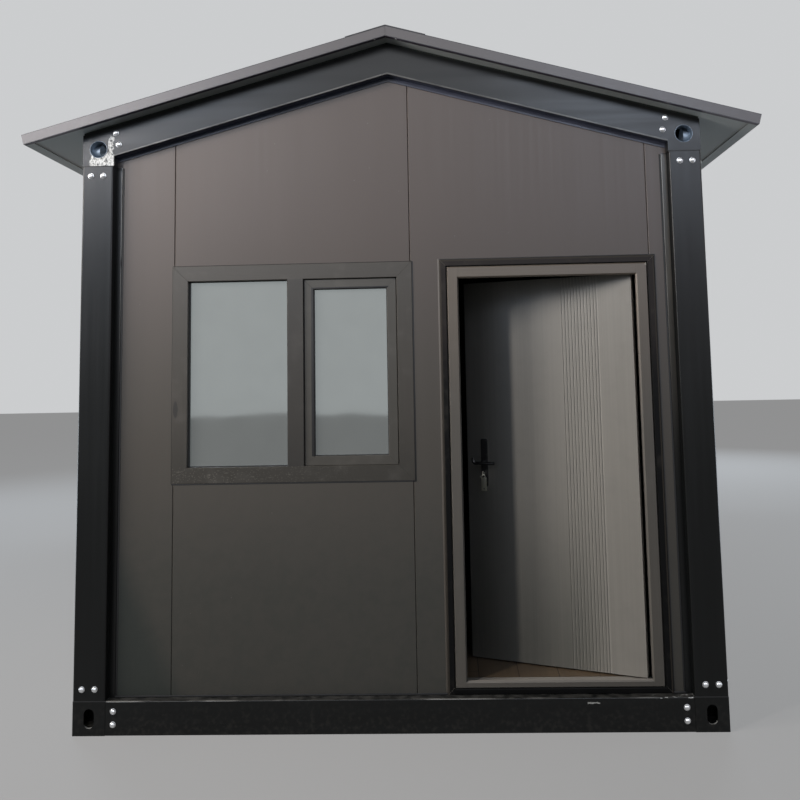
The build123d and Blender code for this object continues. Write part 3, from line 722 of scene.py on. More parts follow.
# Pale dust and grit, partly painted light that the lower rail catches from below.
def dusty_lit_rail(finish, paint, lines):
    rail_top = window_low + window_profile
    leftwards = finish.across.rising(window_right, window_left)
    on_rail = finish.height.rising(rail_top + 0.004, rail_top) * leftwards
    grit = finish.specks(0.009, 0.0026).larger(finish.noise(0.01, (3, 1, 1), detail=5).rising(0.60, 0.70))
    return finish.mixed(on_rail * grit * 0.28, paint, shade(176, 172, 162))


window_grey = shade(80, 76, 69)
# The window frame is painted paler in its upper part: painted light from above.
window_coat = profile_finish("window_coat", shade(66, 63, 56), "front_window_frame", window_profile, 0.38,
                             (hand_scuff, shaded_mullion, dusty_lit_rail), painted_top_light=(window_grey, 1.15, 1.5))
back_window_coat = profile_finish("back_window_coat", window_grey, "front_window_frame", window_profile,
                                  0.38, (shaded_mullion,))
print("scuff at", (scuff_across, scuff_height), "on the frame")

# %% [markdown]
# ## The marks of the door's frame and trim
# Shoes have worn the threshold's top bright, and the frame's head has a chip near its right end. The
# trim has a step: its outer strip is paler, and a shadow line runs along its inner side. Both are
# painted paler in their upper part, a painted light where more light falls from above.

# %% Finish for the door's frame and trim
trim_profile = 0.034
trim_step = 0.009
chip_across, chip_height = frame_right - 0.006, frame_head - 0.009


def worn_threshold(finish, paint, lines):
    trodden = finish.up.rising(0.6, 0.9) * finish.height.rising(threshold_top + 0.05, threshold_top + 0.02)
    return finish.mixed(trodden * (0.45 + lines * 0.4), paint, shade(196, 192, 184))


def chipped_corner(finish, paint, lines):
    from_chip = (finish.across - chip_across).size() + (finish.height - chip_height).size()
    return finish.mixed(from_chip.rising(0.009, 0.006), paint, shade(226, 224, 214))


def stepped_strip(finish, paint, lines):
    to_side = (finish.across - trim_left).smaller(trim_right - finish.across)
    from_edge = to_side.smaller(trim_head - finish.height)
    strip = from_edge.rising(trim_step + 0.0008, trim_step - 0.0008)
    shadow = from_edge.rising(trim_profile - 0.0055, trim_profile - 0.0035)
    paint = finish.mixed(strip * 0.75, paint, shade(82, 78, 72))
    return finish.mixed(shadow, paint, shade(5, 5, 5))


door_frame_coat = profile_finish("door_frame_coat", shade(118, 115, 109), "door_frame", door_profile, 0.36,
                                 (worn_threshold, chipped_corner), butted=True,
                                 painted_top_light=(shade(134, 125, 114), 1.3, 2.1))
door_trim_coat = profile_finish("door_trim_coat", shade(10, 10, 11), "door_trim", trim_profile, 0.42,
                                (stepped_strip,), painted_top_light=(shade(60, 56, 55), 1.5, 1.95), gloss=0.12,
                                hairline=hairline_bright)
print("chip at", rounded((chip_across, chip_height)), "on the door's frame")

# %% [markdown]
# ## The door leaf
# The leaf is a folded sheet shell, coated light grey, with a band of pressed grooves that the model
# holds. The sheet between them has very fine upright lines from the embossing roll. A painted
# highlight runs along the hinge-side edge, painted shade darkens the lower lock side, and paler paint
# in the grooves lifts their shade. The leaf stands open, so its lines are made in a frame turned
# with it: that frame's x runs across the leaf.

# %% Finish for the leaf
hinge = frame["joints"][0]
hinge_place = Vector(hinge["pos_m"])
open_angle = radians(-hinge["range_deg"][0])
groove_depth = -0.0622


def leaf_finish():
    finish = Finish("leaf_sheet")
    place = finish.turned(-open_angle, tuple(hinge_place))
    across = finish.part(place, 0)
    clouds = finish.noise(0.6, detail=4)
    embossed = finish.noise(0.0045, (1, 1, 400), detail=1, place=place)
    brushed = finish.noise(0.02, (1, 1, 70), detail=3, place=place)
    handled = finish.noise(0.09, detail=6).rising(0.45, 0.8)
    # A painted highlight along the hinge-side edge.
    edge = across.rising(-0.016, -0.0125)
    # Paler paint in the grooves: painted light that lifts their shade.
    groove_light = finish.part(place, 1).near(groove_depth, 0.0012, 0.0004)
    # Painted shade over the lower part of the lock side.
    lower_lock_shade = finish.height.rising(1.1, 0.25) * across.rising(-0.12, -0.34)
    tone = 0.84 + clouds * 0.10 + embossed * 0.14 + brushed * 0.14
    colour = finish.tinted(shade(168, 166, 159), tone)
    colour = finish.mixed(handled * 0.10, colour, shade(96, 92, 86))
    colour = finish.mixed(lower_lock_shade * (0.50 + brushed * 0.33), colour, shade(88, 91, 84))
    colour = finish.mixed(edge * 0.55, colour, shade(186, 184, 178))
    colour = finish.mixed(groove_light * 0.22, colour, shade(232, 230, 222))
    relief = finish.bumped(embossed * 0.25 + clouds * 0.5, 0.0016)
    return finish.surface({"Base Color": colour, "Roughness": 0.38 + brushed * 0.14 + handled * 0.1,
                           "Normal": relief, "Specular IOR Level": 0.5})


leaf_sheet = leaf_finish()
print("leaf open by", round(open_angle * 180 / pi, 1), "degrees")

# %% [markdown]
# ## Coated glass
# The panes act as mirrors by day: the glass carries a thin metal coat, so the bright surroundings show
# in it and the dark room doesn't. A plain glass shader would show the room instead, so the pane is
# part metal and part see-through, with the faint waviness of rolled glass and a few dust marks.

# %% Finish for the glass
def glass_finish():
    finish = Finish("coated_glass")
    wave = finish.noise(0.35, detail=1)
    film = finish.noise(0.12, detail=5)
    drops = finish.specks(0.07, 0.004)
    colour = finish.tinted(shade(196, 202, 201), 0.94 + film * 0.08)
    rough = 0.025 + film * 0.03 + drops * 0.12
    return finish.surface({"Base Color": colour, "Metallic": 0.80, "Roughness": rough,
                           "Alpha": 0.90 + drops * 0.05, "Normal": finish.bumped(wave, 0.0012)})


coated_glass = glass_finish()
print(coated_glass.name, "reflects the studio and hides the room")

# %% [markdown]
# ## Roof sheet and roof trims
# The roof and its folded trims are the same coated sheet in a cooler grey, dusty on top because
# nobody wipes a roof. The roof panels' lower sheet is pale. A trim's face carries bands of painted
# shade along its upper and lower edge, where it is folded back. Its lower return is pale too, with
# painted shade right at the verge.

# %% Finishes for the roof
roof_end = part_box("verge_trim_back")[1].y
pale_lining = shade(200, 208, 208)


def sheet_finish(name, colour, roughness, stretch, lower_side):
    """Coated roof sheet; lower_side is a function that paints what the sheet's other sides show."""
    finish = Finish(name)
    clouds = finish.noise(0.5, detail=5)
    rolled = finish.noise(0.02, stretch, detail=3)
    dents = finish.noise(0.30, detail=1)
    dust = finish.up.rising(0.4, 0.9) * finish.noise(0.10, detail=6).rising(0.30, 0.75)
    specks = finish.specks(0.13, 0.005)
    paint = finish.tinted(colour, 0.86 + clouds * 0.14 + rolled * 0.12)
    paint = finish.mixed(dust * 0.30, paint, shade(150, 147, 140))
    paint = lower_side(finish, paint, clouds)
    paint = finish.mixed(specks * 0.35, paint, shade(60, 60, 58))
    relief = finish.bumped(dents * 0.6 + rolled * 0.05, 0.004)
    return finish.surface({"Base Color": paint, "Roughness": roughness + rolled * 0.10 + dust * 0.25,
                           "Normal": relief, "Specular IOR Level": 0.5})


def lined(finish, paint, clouds):
    lining = finish.tinted(pale_lining, 0.9 + clouds * 0.15)
    return finish.mixed(finish.up.rising(-0.6, -0.9), paint, lining)


def fold_shade_and_lining(finish, paint, clouds):
    on_gable = finish.part(finish.facing, 1).size().rising(0.6, 0.8)
    out = off_slope(finish)
    uneven = finish.noise(0.06, detail=3).rising(0.20, 0.50)
    # Painted shade in the folds along the trim's upper and lower edge.
    fold_shade = (out.rising(0.0515, 0.0540) + out.rising(0.0115, 0.0090)) * on_gable * (0.45 + uneven * 0.45)
    paint = finish.mixed(fold_shade, paint, shade(24, 22, 26))
    # Painted shade on the lower return at the verge.
    verge_shade = finish.depth.size().rising(roof_end - 0.027, roof_end - 0.025)
    lining = finish.mixed(verge_shade, pale_lining, shade(84, 80, 94))
    return finish.mixed(finish.up.rising(-0.6, -0.9), paint, lining)


roof_sheet = sheet_finish("roof_sheet", shade(98, 102, 106), 0.40, (30, 1, 1), lined)
roof_trim = sheet_finish("roof_trim", shade(104, 101, 103), 0.36, (1, 1, 1), fold_shade_and_lining)
print("roof ends at", round(roof_end, 3), "with finishes", roof_sheet.name, "and", roof_trim.name)

# %% [markdown]
# ## Floor boards and primer
# Inside, the floor is tan board laid in planks. A plank's number comes from its place, and shifts its
# end joints along, so that they don't line up. The joists keep their grey primer, with a few drips of
# rust on it.

# %% Finishes for the floor and the joists
plank_width = 0.19
plank_length = 1.2


def board_finish():
    finish = Finish("floor_boards")
    from_joint = (finish.across + 5 * plank_width).remainder(plank_width) - plank_width / 2
    joint = from_joint.size().rising(plank_width / 2 - 0.0025, plank_width / 2 - 0.0010)
    shift = (finish.across / plank_width).whole() * 0.37
    end_joint = (finish.depth + shift).remainder(plank_length).rising(0.003, 0.001)
    seam = joint.larger(end_joint)
    grain = finish.noise(0.02, (1, 25, 1), detail=6)
    board = finish.noise(0.19, (1, 6, 1), detail=0)
    paint = finish.mixed(grain, shade(96, 80, 60), shade(122, 104, 80))
    paint = finish.tinted(paint, 0.78 + board * 0.4)
    paint = finish.mixed(seam, paint, shade(52, 40, 30))
    return finish.surface({"Base Color": paint, "Roughness": 0.48 + grain * 0.15,
                           "Normal": finish.bumped(grain * 0.2 - seam * 0.6, 0.001)})


def primer_finish():
    finish = Finish("joist_primer")
    drips = finish.noise(0.05, detail=5)
    clouds = finish.noise(0.4)
    paint = finish.mixed(drips.rising(0.55, 0.75) * 0.4, shade(132, 134, 136), shade(96, 80, 66))
    paint = finish.tinted(paint, 0.85 + clouds * 0.25)
    return finish.surface({"Base Color": paint, "Roughness": 0.6 + drips * 0.2,
                           "Normal": finish.bumped(drips, 0.0006)})


floor_boards = board_finish()
joist_primer = primer_finish()
print("planks", plank_width, "m wide and", plank_length, "m long")

# %% [markdown]
# ## Metals, rubber and plastic of the small pieces
# The bolts and screws are zinc plated, the lever and its plate are satin black with patches of bright
# worn metal, the seals are dull rubber, and the tag on the key is cream plastic.

# %% Finishes for the small pieces
def metal_finish(name, colour, roughness):
    finish = Finish(name)
    spangle = finish.noise(0.006, detail=4)
    tarnish = finish.noise(0.03, detail=5)
    paint = finish.tinted(colour, 0.82 + spangle * 0.22 + tarnish * 0.12)
    return finish.surface({"Base Color": paint, "Metallic": 1.0, "Roughness": roughness + tarnish * 0.14,
                           "Normal": finish.bumped(spangle, 0.0002)})


def dull_finish(name, colour, roughness, grain, worn=None):
    """Rubber, plastic or satin paint: fine grain, faint clouds and, where given, a worn colour."""
    finish = Finish(name)
    fine = finish.noise(grain, detail=3)
    clouds = finish.noise(0.05, detail=5)
    paint = finish.tinted(colour, 0.85 + clouds * 0.3)
    if worn:
        paint = finish.mixed(clouds.rising(0.60, 0.75) * 0.5, paint, worn)
    return finish.surface({"Base Color": paint, "Roughness": roughness + clouds * 0.12,
                           "Normal": finish.bumped(fine, grain * 0.15)})


bolt_zinc = metal_finish("bolt_zinc", shade(226, 227, 228), 0.22)
hinge_zinc = metal_finish("hinge_zinc", shade(188, 188, 186), 0.32)
key_metal = metal_finish("key_metal", shade(226, 222, 210), 0.25)
sleeve_zinc = metal_finish("sleeve_zinc", shade(128, 138, 148), 0.42)
black_rubber = dull_finish("black_rubber", shade(18, 18, 18), 0.60, 0.0015)
seal_foam = dull_finish("seal_foam", shade(26, 34, 30), 0.75, 0.002)
hinge_black = dull_finish("hinge_black", shade(30, 31, 32), 0.38, 0.001, shade(86, 86, 84))
handle_black = dull_finish("handle_black", shade(34, 35, 37), 0.28, 0.0008, shade(120, 120, 118))
# A pale finish for the bead left of the door: a painted highlight.
edge_highlight = dull_finish("edge_highlight", shade(122, 116, 108), 0.45, 0.001)
tag_plastic = dull_finish("tag_plastic", shade(244, 242, 218), 0.42, 0.0012, shade(214, 208, 178))
print("small finishes:", bolt_zinc.name, black_rubber.name, handle_black.name, tag_plastic.name)

# %% [markdown]
# ## Giving the nodes their finishes
# Each node of the model keeps its mesh and gets a finish in its own material slot. The record names a
# slot for every node, and a few nodes get a variant of their slot's finish: the same enamel, with the
# streaks along that piece.

# %% Assign the finishes
finish_of_slot = {
    "frame_steel": enamel_gables, "joist_steel": joist_primer, "wall_panel": wall_panel_sheet,
    "dark_trim": door_trim_coat, "door_aluminium": door_frame_coat, "door_leaf": leaf_sheet,
    "handle": handle_black, "hinge_steel": hinge_zinc, "window_aluminium": window_coat, "glass": coated_glass,
    "roof_sheet": roof_sheet, "roof_trim": roof_trim, "floor_deck": floor_boards,
}
finish_of_node = {
    "base_castings": enamel_castings, "top_castings": enamel_castings, "base_beam_front": enamel_front_beam,
    "front_window_sash": sash_coat, "back_window_sash": sash_coat, "back_window_frame": back_window_coat,
    "hinges_on_frame": hinge_black, "hinges_on_leaf": hinge_black, "roof_seal": seal_foam,
}
for name in frame["nodes"]:
    if name.startswith("post_"):
        finish_of_node[name] = enamel_posts
    if name.endswith(("beam_left", "beam_right")) or name == "ridge_beam":
        finish_of_node[name] = enamel_sides

for entry in frame["record"]["subparts"]:
    name = entry["node"]
    finish = finish_of_node.get(name, finish_of_slot[entry["material_slot"]])
    for slot in frame["nodes"][name].material_slots:
        slot.material = finish

# %% [markdown]
# ## Selecting by place
# An operator acts on all that is selected, so every step starts from a clean selection. In edit mode
# the edges to work on are found by where they lie, as a hand would point at them, because their
# numbers change with every step.

# %% Steps for selecting
def deselect():
    bpy.ops.object.select_all(action="DESELECT")


def only(*pieces):
    """Select these pieces and nothing else; the first one is active."""
    deselect()
    for piece in pieces:
        piece.select_set(True)
    bpy.context.view_layer.objects.active = pieces[0]


def edit():
    bpy.ops.object.mode_set(mode="EDIT")


def leave():
    bpy.ops.object.mode_set(mode="OBJECT")


def select_all():
    bpy.ops.mesh.select_all(action="SELECT")


def pick_edges(test):
    """In edit mode, select the edges whose two ends pass the test."""
    bpy.ops.mesh.select_mode(type="EDGE")
    bpy.ops.mesh.select_all(action="DESELECT")
    shape = bmesh.from_edit_mesh(bpy.context.object.data)
    for edge in shape.edges:
        if test(*(end.co for end in edge.verts)):
            edge.select_set(True)
    bmesh.update_edit_mesh(bpy.context.object.data)


print("selected now:", len(bpy.context.selected_objects), "objects")

# %% [markdown]
# ## Starting, rounding and copying
# A primitive is added at its size and place, and both go into its mesh at once. Most seals start as
# a bar with rounded edges. What repeats is modelled once, and each copy gets a mesh of its own.

# %% Steps for shaping
def started():
    """Put the place, turn and size of the primitive that was just added into its mesh."""
    bpy.ops.object.transform_apply(location=True, rotation=True, scale=True)
    return bpy.context.object


def outwards():
    """Make every face of the mesh in edit mode point outwards."""
    select_all()
    bpy.ops.mesh.normals_make_consistent(inside=False)


def bar(low, high, edge):
    """A straight bar between two corners, with rounded edges."""
    deselect()
    bpy.ops.mesh.primitive_cube_add(size=1, location=(Vector(low) + Vector(high)) / 2)
    bpy.context.object.scale = Vector(high) - Vector(low)
    piece = started()
    edit()
    select_all()
    bpy.ops.mesh.bevel(offset=edge, segments=2, affect="EDGES")
    outwards()
    leave()
    return piece


def copies(template, places):
    """Copies of a template, each with its own mesh, moved and turned by a matrix."""
    made = []
    for place in places:
        copy = template.copy()
        copy.data = template.data.copy()
        copy.data.transform(place)
        bpy.context.scene.collection.objects.link(copy)
        made.append(copy)
    bpy.data.objects.remove(template)
    return made


print("shaping steps:", [step.__name__ for step in (started, outwards, bar, copies)])

# %% [markdown]
# ## Fitting a finished piece
# The building is the same on both sides and both gables, so most pieces are modelled once and
# mirrored about its middle. After that a piece gets soft shading, its material, and the body that it
# rides on.

# %% The last steps of every piece
smooth_below = 35


def fitted(name, parts, material, mirror="", body="house"):
    """Join the parts into one piece, mirror it across x, y or both, and give it its finish and body."""
    piece = parts[0]
    only(*parts)
    if len(parts) > 1:
        bpy.ops.object.join()
    piece.name = name
    piece.data.name = name
    if mirror:
        modifier = piece.modifiers.new("mirror", "MIRROR")
        modifier.use_axis = ("x" in mirror, "y" in mirror, False)
        modifier.use_mirror_merge = False
        bpy.ops.object.modifier_apply(modifier=modifier.name)
    bpy.ops.object.shade_smooth_by_angle(angle=radians(smooth_below))
    piece.data.materials.clear()
    piece.data.materials.append(material)
    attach(piece, body)
    print(name, "has", len(piece.data.polygons), "faces and rides on", body)


print("edges below", smooth_below, "degrees are shaded smooth")

# %% [markdown]
# ## Dome bolts
# The frame comes flat and is bolted together on site, so every corner shows pairs of zinc dome heads.
# A head is half a ball, pressed flat, on a thin washer. It is modelled once, pointing to the front,
# and copied to each place. The places are the same on both gables and, turned by a quarter, on the
# sides.

# %% Model one bolt head
bolt_radius = 0.0124
bolt_flatness = 0.62
washer_radius = 0.0144
washer_thickness = 0.0024


def dome_bolt():
    """A dome head on a washer, standing on the plane y = 0 and pointing to -y."""

    def washer_rim(a, b):
        return (max(abs(a.y + washer_thickness), abs(b.y + washer_thickness)) < 1e-5
                and min(hypot(a.x, a.z), hypot(b.x, b.z)) > washer_radius * 0.9)

    deselect()
    bpy.ops.mesh.primitive_uv_sphere_add(segments=20, ring_count=12, radius=bolt_radius,
                                         rotation=(pi / 2, 0, 0))
    bolt = started()
    edit()
    select_all()
    bpy.ops.mesh.bisect(plane_co=(0, 0, 0), plane_no=(0, 1, 0), clear_outer=True, use_fill=True)
    select_all()
    bpy.ops.transform.resize(value=(1, bolt_flatness, 1))
    bpy.ops.transform.translate(value=(0, -washer_thickness * 0.8, 0))
    bpy.ops.mesh.select_all(action="DESELECT")
    bpy.ops.mesh.primitive_cylinder_add(vertices=20, radius=washer_radius, depth=washer_thickness,
                                        location=(0, -washer_thickness / 2, 0), rotation=(pi / 2, 0, 0))
    pick_edges(washer_rim)
    bpy.ops.mesh.bevel(offset=washer_thickness * 0.4, segments=2, affect="EDGES")
    outwards()
    leave()
    return bolt


print("bolt heads", round(washer_radius * 2000, 1), "mm across their washers")

# %% [markdown]
# ## Where the bolts go
# Two side by side at each end of a post, two above each other where a beam meets a casting, and two
# along the slope at each rafter's end. On the sides, the same pairs hold the posts and the long
# beams.

# %% Copy the bolt to its places
half_pair = 0.030
post_bolt_inset = 0.0725
beam_bolt_inset = casting_size + 0.035
post_bolt_heights = (base_top + 0.054, post_top - 0.048)
base_bolt_heights = (0.050, 0.108)
eave_bolt_heights = (post_top + 0.045, post_top + 0.103)
rafter_bolts = [(side - 0.162, post_top + 0.164), (side - 0.177, post_top + 0.106)]


def corner_bolts(corner):
    """The bolts of one corner that every face has, as distance from the middle and height."""
    on_post = [(corner - post_bolt_inset + shift, height)
               for shift in (-half_pair, half_pair) for height in post_bolt_heights]
    return on_post + [(corner - beam_bolt_inset, height) for height in base_bolt_heights]


gable_bolts = corner_bolts(side) + rafter_bolts
side_bolts = corner_bolts(-front) + [(-front - beam_bolt_inset, height) for height in eave_bolt_heights]
to_side = Matrix.Rotation(pi / 2, 4, "Z")
gable_places = [Matrix.Translation((across, front, height)) for across, height in gable_bolts]
side_places = [Matrix.Translation((side, along, height)) @ to_side for along, height in side_bolts]
fitted("bolts_on_gables", copies(dome_bolt(), gable_places), bolt_zinc, mirror="xy")
fitted("bolts_on_sides", copies(dome_bolt(), side_places), bolt_zinc, mirror="xy")

# %% [markdown]
# ## Sleeves in the lifting holes
# The round holes in the top castings are lined with a length of thick tube, and its inner wall shows
# as a bright crescent from the front. A ring is inset in a disc and extruded inwards. Its rim stands
# just proud of the casting, as a thin light ring.

# %% Line the lifting holes
hole_radius = 0.043
hole_height = post_top + 0.084
hole_inset = 0.0775
sleeve_length = 0.070
sleeve_wall = 0.0016
rim_proud = 0.0012


def lifting_sleeve():
    """A thin tube inside a hole whose face is the plane y = 0, opening to -y."""

    def rim(a, b):
        return (abs(a.y + rim_proud) < 1e-6 and abs(b.y + rim_proud) < 1e-6
                and abs(hypot(a.x, a.z) - hypot(b.x, b.z)) < 1e-5)

    deselect()
    bpy.ops.mesh.primitive_circle_add(vertices=48, radius=hole_radius - 0.0002, fill_type="NGON",
                                      location=(0, -rim_proud, 0), rotation=(pi / 2, 0, 0))
    sleeve = started()
    edit()
    select_all()
    bpy.ops.mesh.inset(thickness=sleeve_wall, use_even_offset=True)
    bpy.ops.mesh.delete(type="FACE")
    select_all()
    bpy.ops.mesh.extrude_region_move(TRANSFORM_OT_translate={"value": (0, sleeve_length, 0)})
    outwards()
    pick_edges(rim)
    bpy.ops.mesh.bevel(offset=0.0005, segments=2, affect="EDGES")
    leave()
    return sleeve


front_hole = Matrix.Translation((side - hole_inset, front, hole_height))
side_hole = Matrix.Translation((side, -front - hole_inset, hole_height)) @ to_side
sleeves = copies(lifting_sleeve(), [front_hole, side_hole])
fitted("lifting_sleeves", sleeves, sleeve_zinc, mirror="xy")

# %% [markdown]
# ## Gaskets between posts and panels
# A panel is pushed in behind the lip of its post, and a soft black gasket fills the gap. From the
# front it is the dark line that runs down beside each lip. A bar is enough for it, because only its
# front edge shows.

# %% Close the gaps beside the posts
gasket_width = 0.009
gasket_proud = 0.002
contact_gap = 0.0001
post_gasket = bar((lip_inner - gasket_width, panel_front - gasket_proud, base_top + 0.0005),
                  (lip_inner - 0.0004, panel_front - contact_gap, post_top - 0.002), 0.0008)
fitted("post_gaskets", [post_gasket], black_rubber, mirror="xy")

# %% [markdown]
# ## Joints between posts and castings
# A post's ends don't quite meet its castings. Each joint is filled with black mastic, which shows as
# a thin line across the front, just beyond the two bolts.

# %% Fill the joints
joint_height = 0.0045
joint_proud = 0.0008
post_inner = side - casting_size
joint_bars = [bar((post_inner, front - joint_proud, level - joint_height / 2),
                  (side - 0.004, front + 0.0005, level + joint_height / 2), 0.0003)
              for level in (post_top, base_top)]
fitted("post_joints", joint_bars, black_rubber, mirror="xy")

# %% [markdown]
# ## Sealant along the panels' foot
# The panels stand on the base beam's flange in a bead of black sealant. It shows as the dark line
# that runs all round the building, just above the beam. Each run is given by its two corners on the
# ground, and the front has two of them, left and right of the door.

# %% Run the bead round the foot
bead_height = 0.009
bead_proud = 0.006
bead_low, bead_high = base_top + contact_gap, base_top + bead_height
wall_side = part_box("right_wall")[1].x
wall_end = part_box("right_wall")[1].y
foot_runs = [
    ((-lip_inner, panel_front - bead_proud), (trim_left, panel_front)),
    ((trim_right, panel_front - bead_proud), (lip_inner, panel_front)),
    ((-lip_inner, -panel_front), (lip_inner, -panel_front + bead_proud)),
    ((-wall_side - bead_proud, -wall_end), (-wall_side, wall_end)),
    ((wall_side, -wall_end), (wall_side + bead_proud, wall_end)),
]
foot_beads = [bar((*start, bead_low), (*end, bead_high), 0.0025) for start, end in foot_runs]
fitted("foot_sealant", foot_beads, black_rubber)

# %% [markdown]
# ## Sealant round the door trim and the window
# A thin bead of the same sealant closes the joint between the panels and what is set into them. On
# the photo it outlines the window on all four sides, most at the right and below, and the door's trim
# at the top and right. Left of the door the bead is pale: a painted highlight where the light from the
# left catches the edge.

# %% Run the beads round the openings
outline_front = panel_front - 0.0016
outline_back = panel_front - 0.00005
door_outline = 0.0045
highlight_outline = 0.008
window_outline = 0.0055
thin_outline = 0.0022
door_bead_top = trim_head + door_outline


def bead(left, right, low, high, edge=0.0006):
    """A flat bead on the face of the front panels, between its sides."""
    return bar((left, outline_front, low), (right, outline_back, high), edge)


left_highlight_bead = bead(trim_left - highlight_outline, trim_left - contact_gap, bead_high, door_bead_top)
fitted("lit_sealant_left", [left_highlight_bead], edge_highlight)
door_beads = [
    bead(trim_right + contact_gap, trim_right + door_outline, bead_high, door_bead_top),
    bead(trim_left, trim_right, trim_head + contact_gap, door_bead_top),
]
fitted("door_sealant", door_beads, black_rubber)

window_bead_foot = window_low - window_outline
window_beads = [
    bead(window_left, window_right, window_high + contact_gap, window_high + thin_outline, 0.0004),
    bead(window_left - thin_outline, window_left - contact_gap, window_low, window_high, 0.0004),
    bead(window_right + contact_gap, window_right + window_outline, window_bead_foot, window_high),
    bead(window_left, window_right, window_bead_foot, window_low - contact_gap),
]
fitted("window_sealant", window_beads, black_rubber, mirror="y")

# %% [markdown]
# ## Glazing gaskets
# Black rubber holds each pane in its profile. Seen at a slant, its near edge and its reflection in
# the glass make the dark outline round both lights. A plane is added at the opening's size, inset,
# opened in the middle and extruded back to the glass.

# %% Ring the panes with rubber
def ring(sides, width, outside, depth):
    """A ring facing the front: outer sides, width of its bars, place of its front face and depth."""
    left, right, low, high = sides

    def at_front(a, b):
        return max(abs(a.y - outside), abs(b.y - outside)) < 1e-6

    deselect()
    bpy.ops.mesh.primitive_plane_add(size=1, location=((left + right) / 2, outside, (low + high) / 2),
                                     rotation=(pi / 2, 0, 0))
    bpy.context.object.scale = (right - left, high - low, 1)
    piece = started()
    edit()
    select_all()
    bpy.ops.mesh.inset(thickness=width, use_even_offset=True)
    bpy.ops.mesh.delete(type="FACE")
    select_all()
    bpy.ops.mesh.extrude_region_move(TRANSFORM_OT_translate={"value": (0, depth, 0)})
    outwards()
    pick_edges(at_front)
    bpy.ops.mesh.bevel(offset=min(width, depth) * 0.3, segments=2, affect="EDGES")
    leave()
    return piece


glass_low, glass_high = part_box("front_window_glass")
gasket_reach = 0.010
gasket_front = glass_low.y - gasket_reach
gasket_depth = gasket_reach - 0.0002
fixed_light = (glass_low.x, mullion_left, glass_low.z, glass_high.z)
pane_left, pane_right = sash_left + sash_profile, sash_right - sash_profile
pane_low, pane_high = sash_low + sash_profile, sash_high - sash_profile
sash_gasket = ring((pane_left, pane_right, pane_low, pane_high), 0.0035, gasket_front, gasket_depth)
fixed_gasket = ring(fixed_light, 0.0045, gasket_front, gasket_depth)
print("panes from", rounded(fixed_light[:2]), "and", rounded((pane_left, pane_right)))

# %% [markdown]
# ## Rubber round the sash
# A thin seal runs round the sash in its frame. Black strips lap over the sash's profile at the left
# and at the top: dark rubber set where the recess lies in shade, as painted shade. All the window's
# rubber is one piece.

# %% Seal the sash
sash_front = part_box("front_window_sash")[0].y
sash_gap = 0.0028
round_sash = (sash_left - sash_gap, sash_right + sash_gap, sash_low - 0.0002, sash_high + sash_gap)
sash_seal = ring(round_sash, 0.0026, sash_front + 0.006, 0.02)

lap_front, lap_back = sash_front - 0.0012, sash_front + 0.0002
lap_width, lap_over = 0.012, 0.006
# Painted shade: dark strips at the recess's left and top, where it lies in shade.
left_shade_strip = bar((pane_left - lap_width, lap_front, pane_low),
               (pane_left + 0.0005, lap_back, pane_high + lap_over), 0.0005)
top_shade_strip = bar((pane_left, lap_front, pane_high - 0.0005),
              (pane_right + lap_over, lap_back, pane_high + 0.007), 0.0005)
glazing = [sash_gasket, fixed_gasket, sash_seal, left_shade_strip, top_shade_strip]
fitted("glazing_gaskets", glazing, black_rubber, mirror="y")

# %% [markdown]
# ## The door's rubber
# A seal sits in the frame's rebate, where the closed leaf presses against it. It follows both jambs
# and the head, and stays clear of the leaf's edges while it swings.

# %% Line the door's rebate
stop_back = front + 0.066
seal_width = 0.0055
seal_thickness = 0.0028
seal_inset = 0.001
seal_left = frame_left + door_profile - seal_inset
seal_right = frame_right - door_profile + seal_inset
head_low = frame_head - door_profile
head_seal_low = head_low + 0.0002


def seal(left, right, low, high):
    """A bar of the seal on the back of the stop, between its sides."""
    return bar((left, stop_back, low), (right, stop_back + seal_thickness, high), 0.0008)


seal_bars = [
    seal(seal_left - seal_width, seal_left, threshold_top, head_low),
    seal(seal_right, seal_right + seal_width, threshold_top, head_low),
    seal(seal_left - seal_width, seal_right + seal_width, head_seal_low, head_seal_low + seal_width),
]
fitted("door_seal", seal_bars, black_rubber)

# %% [markdown]
# ## Flat pieces for the key
# The key's bow and the tag are thin plates with rounded corners and a hole. A bar is rounded at its
# four short edges, and a cylinder is cut out of it. Both stand in the leaf's frame: its origin is the
# hinge pin, and its x runs towards the hinge side.

# %% Model the key's bow
def leaf_point(across, depth, height):
    """A point given in the leaf's frame."""
    x = hinge_place.x + across * cos(open_angle) + depth * sin(open_angle)
    y = hinge_place.y - across * sin(open_angle) + depth * cos(open_angle)
    return Vector((x, y, height))


def standing(across, depth, height):
    """A matrix that stands a flat piece in the leaf's frame, with its face to the front."""
    return Matrix.Translation(leaf_point(across, depth, height)) @ Matrix.Rotation(-open_angle, 4, "Z")


def drilled_plate(width, height, thickness, corner, hole, hole_height):
    """A thin plate in the x-z plane with rounded corners and a round hole."""

    def short_edge(a, b):
        return abs(a.x - b.x) < 1e-5 and abs(a.z - b.z) < 1e-5 and abs(a.y - b.y) > thickness * 0.4

    far_corner = Vector((width / 2, thickness / 2, height / 2))
    plate = bar(-far_corner, far_corner, thickness * 0.25)
    edit()
    pick_edges(short_edge)
    bpy.ops.mesh.bevel(offset=corner, segments=4, affect="EDGES")
    leave()
    deselect()
    bpy.ops.mesh.primitive_cylinder_add(vertices=24, radius=hole, depth=thickness * 4,
                                        location=(0, 0, hole_height), rotation=(pi / 2, 0, 0))
    drill = started()
    cut = plate.modifiers.new("hole", "BOOLEAN")
    cut.operation = "DIFFERENCE"
    cut.object = drill
    only(plate)
    bpy.ops.object.modifier_apply(modifier=cut.name)
    bpy.data.objects.remove(drill)
    return plate


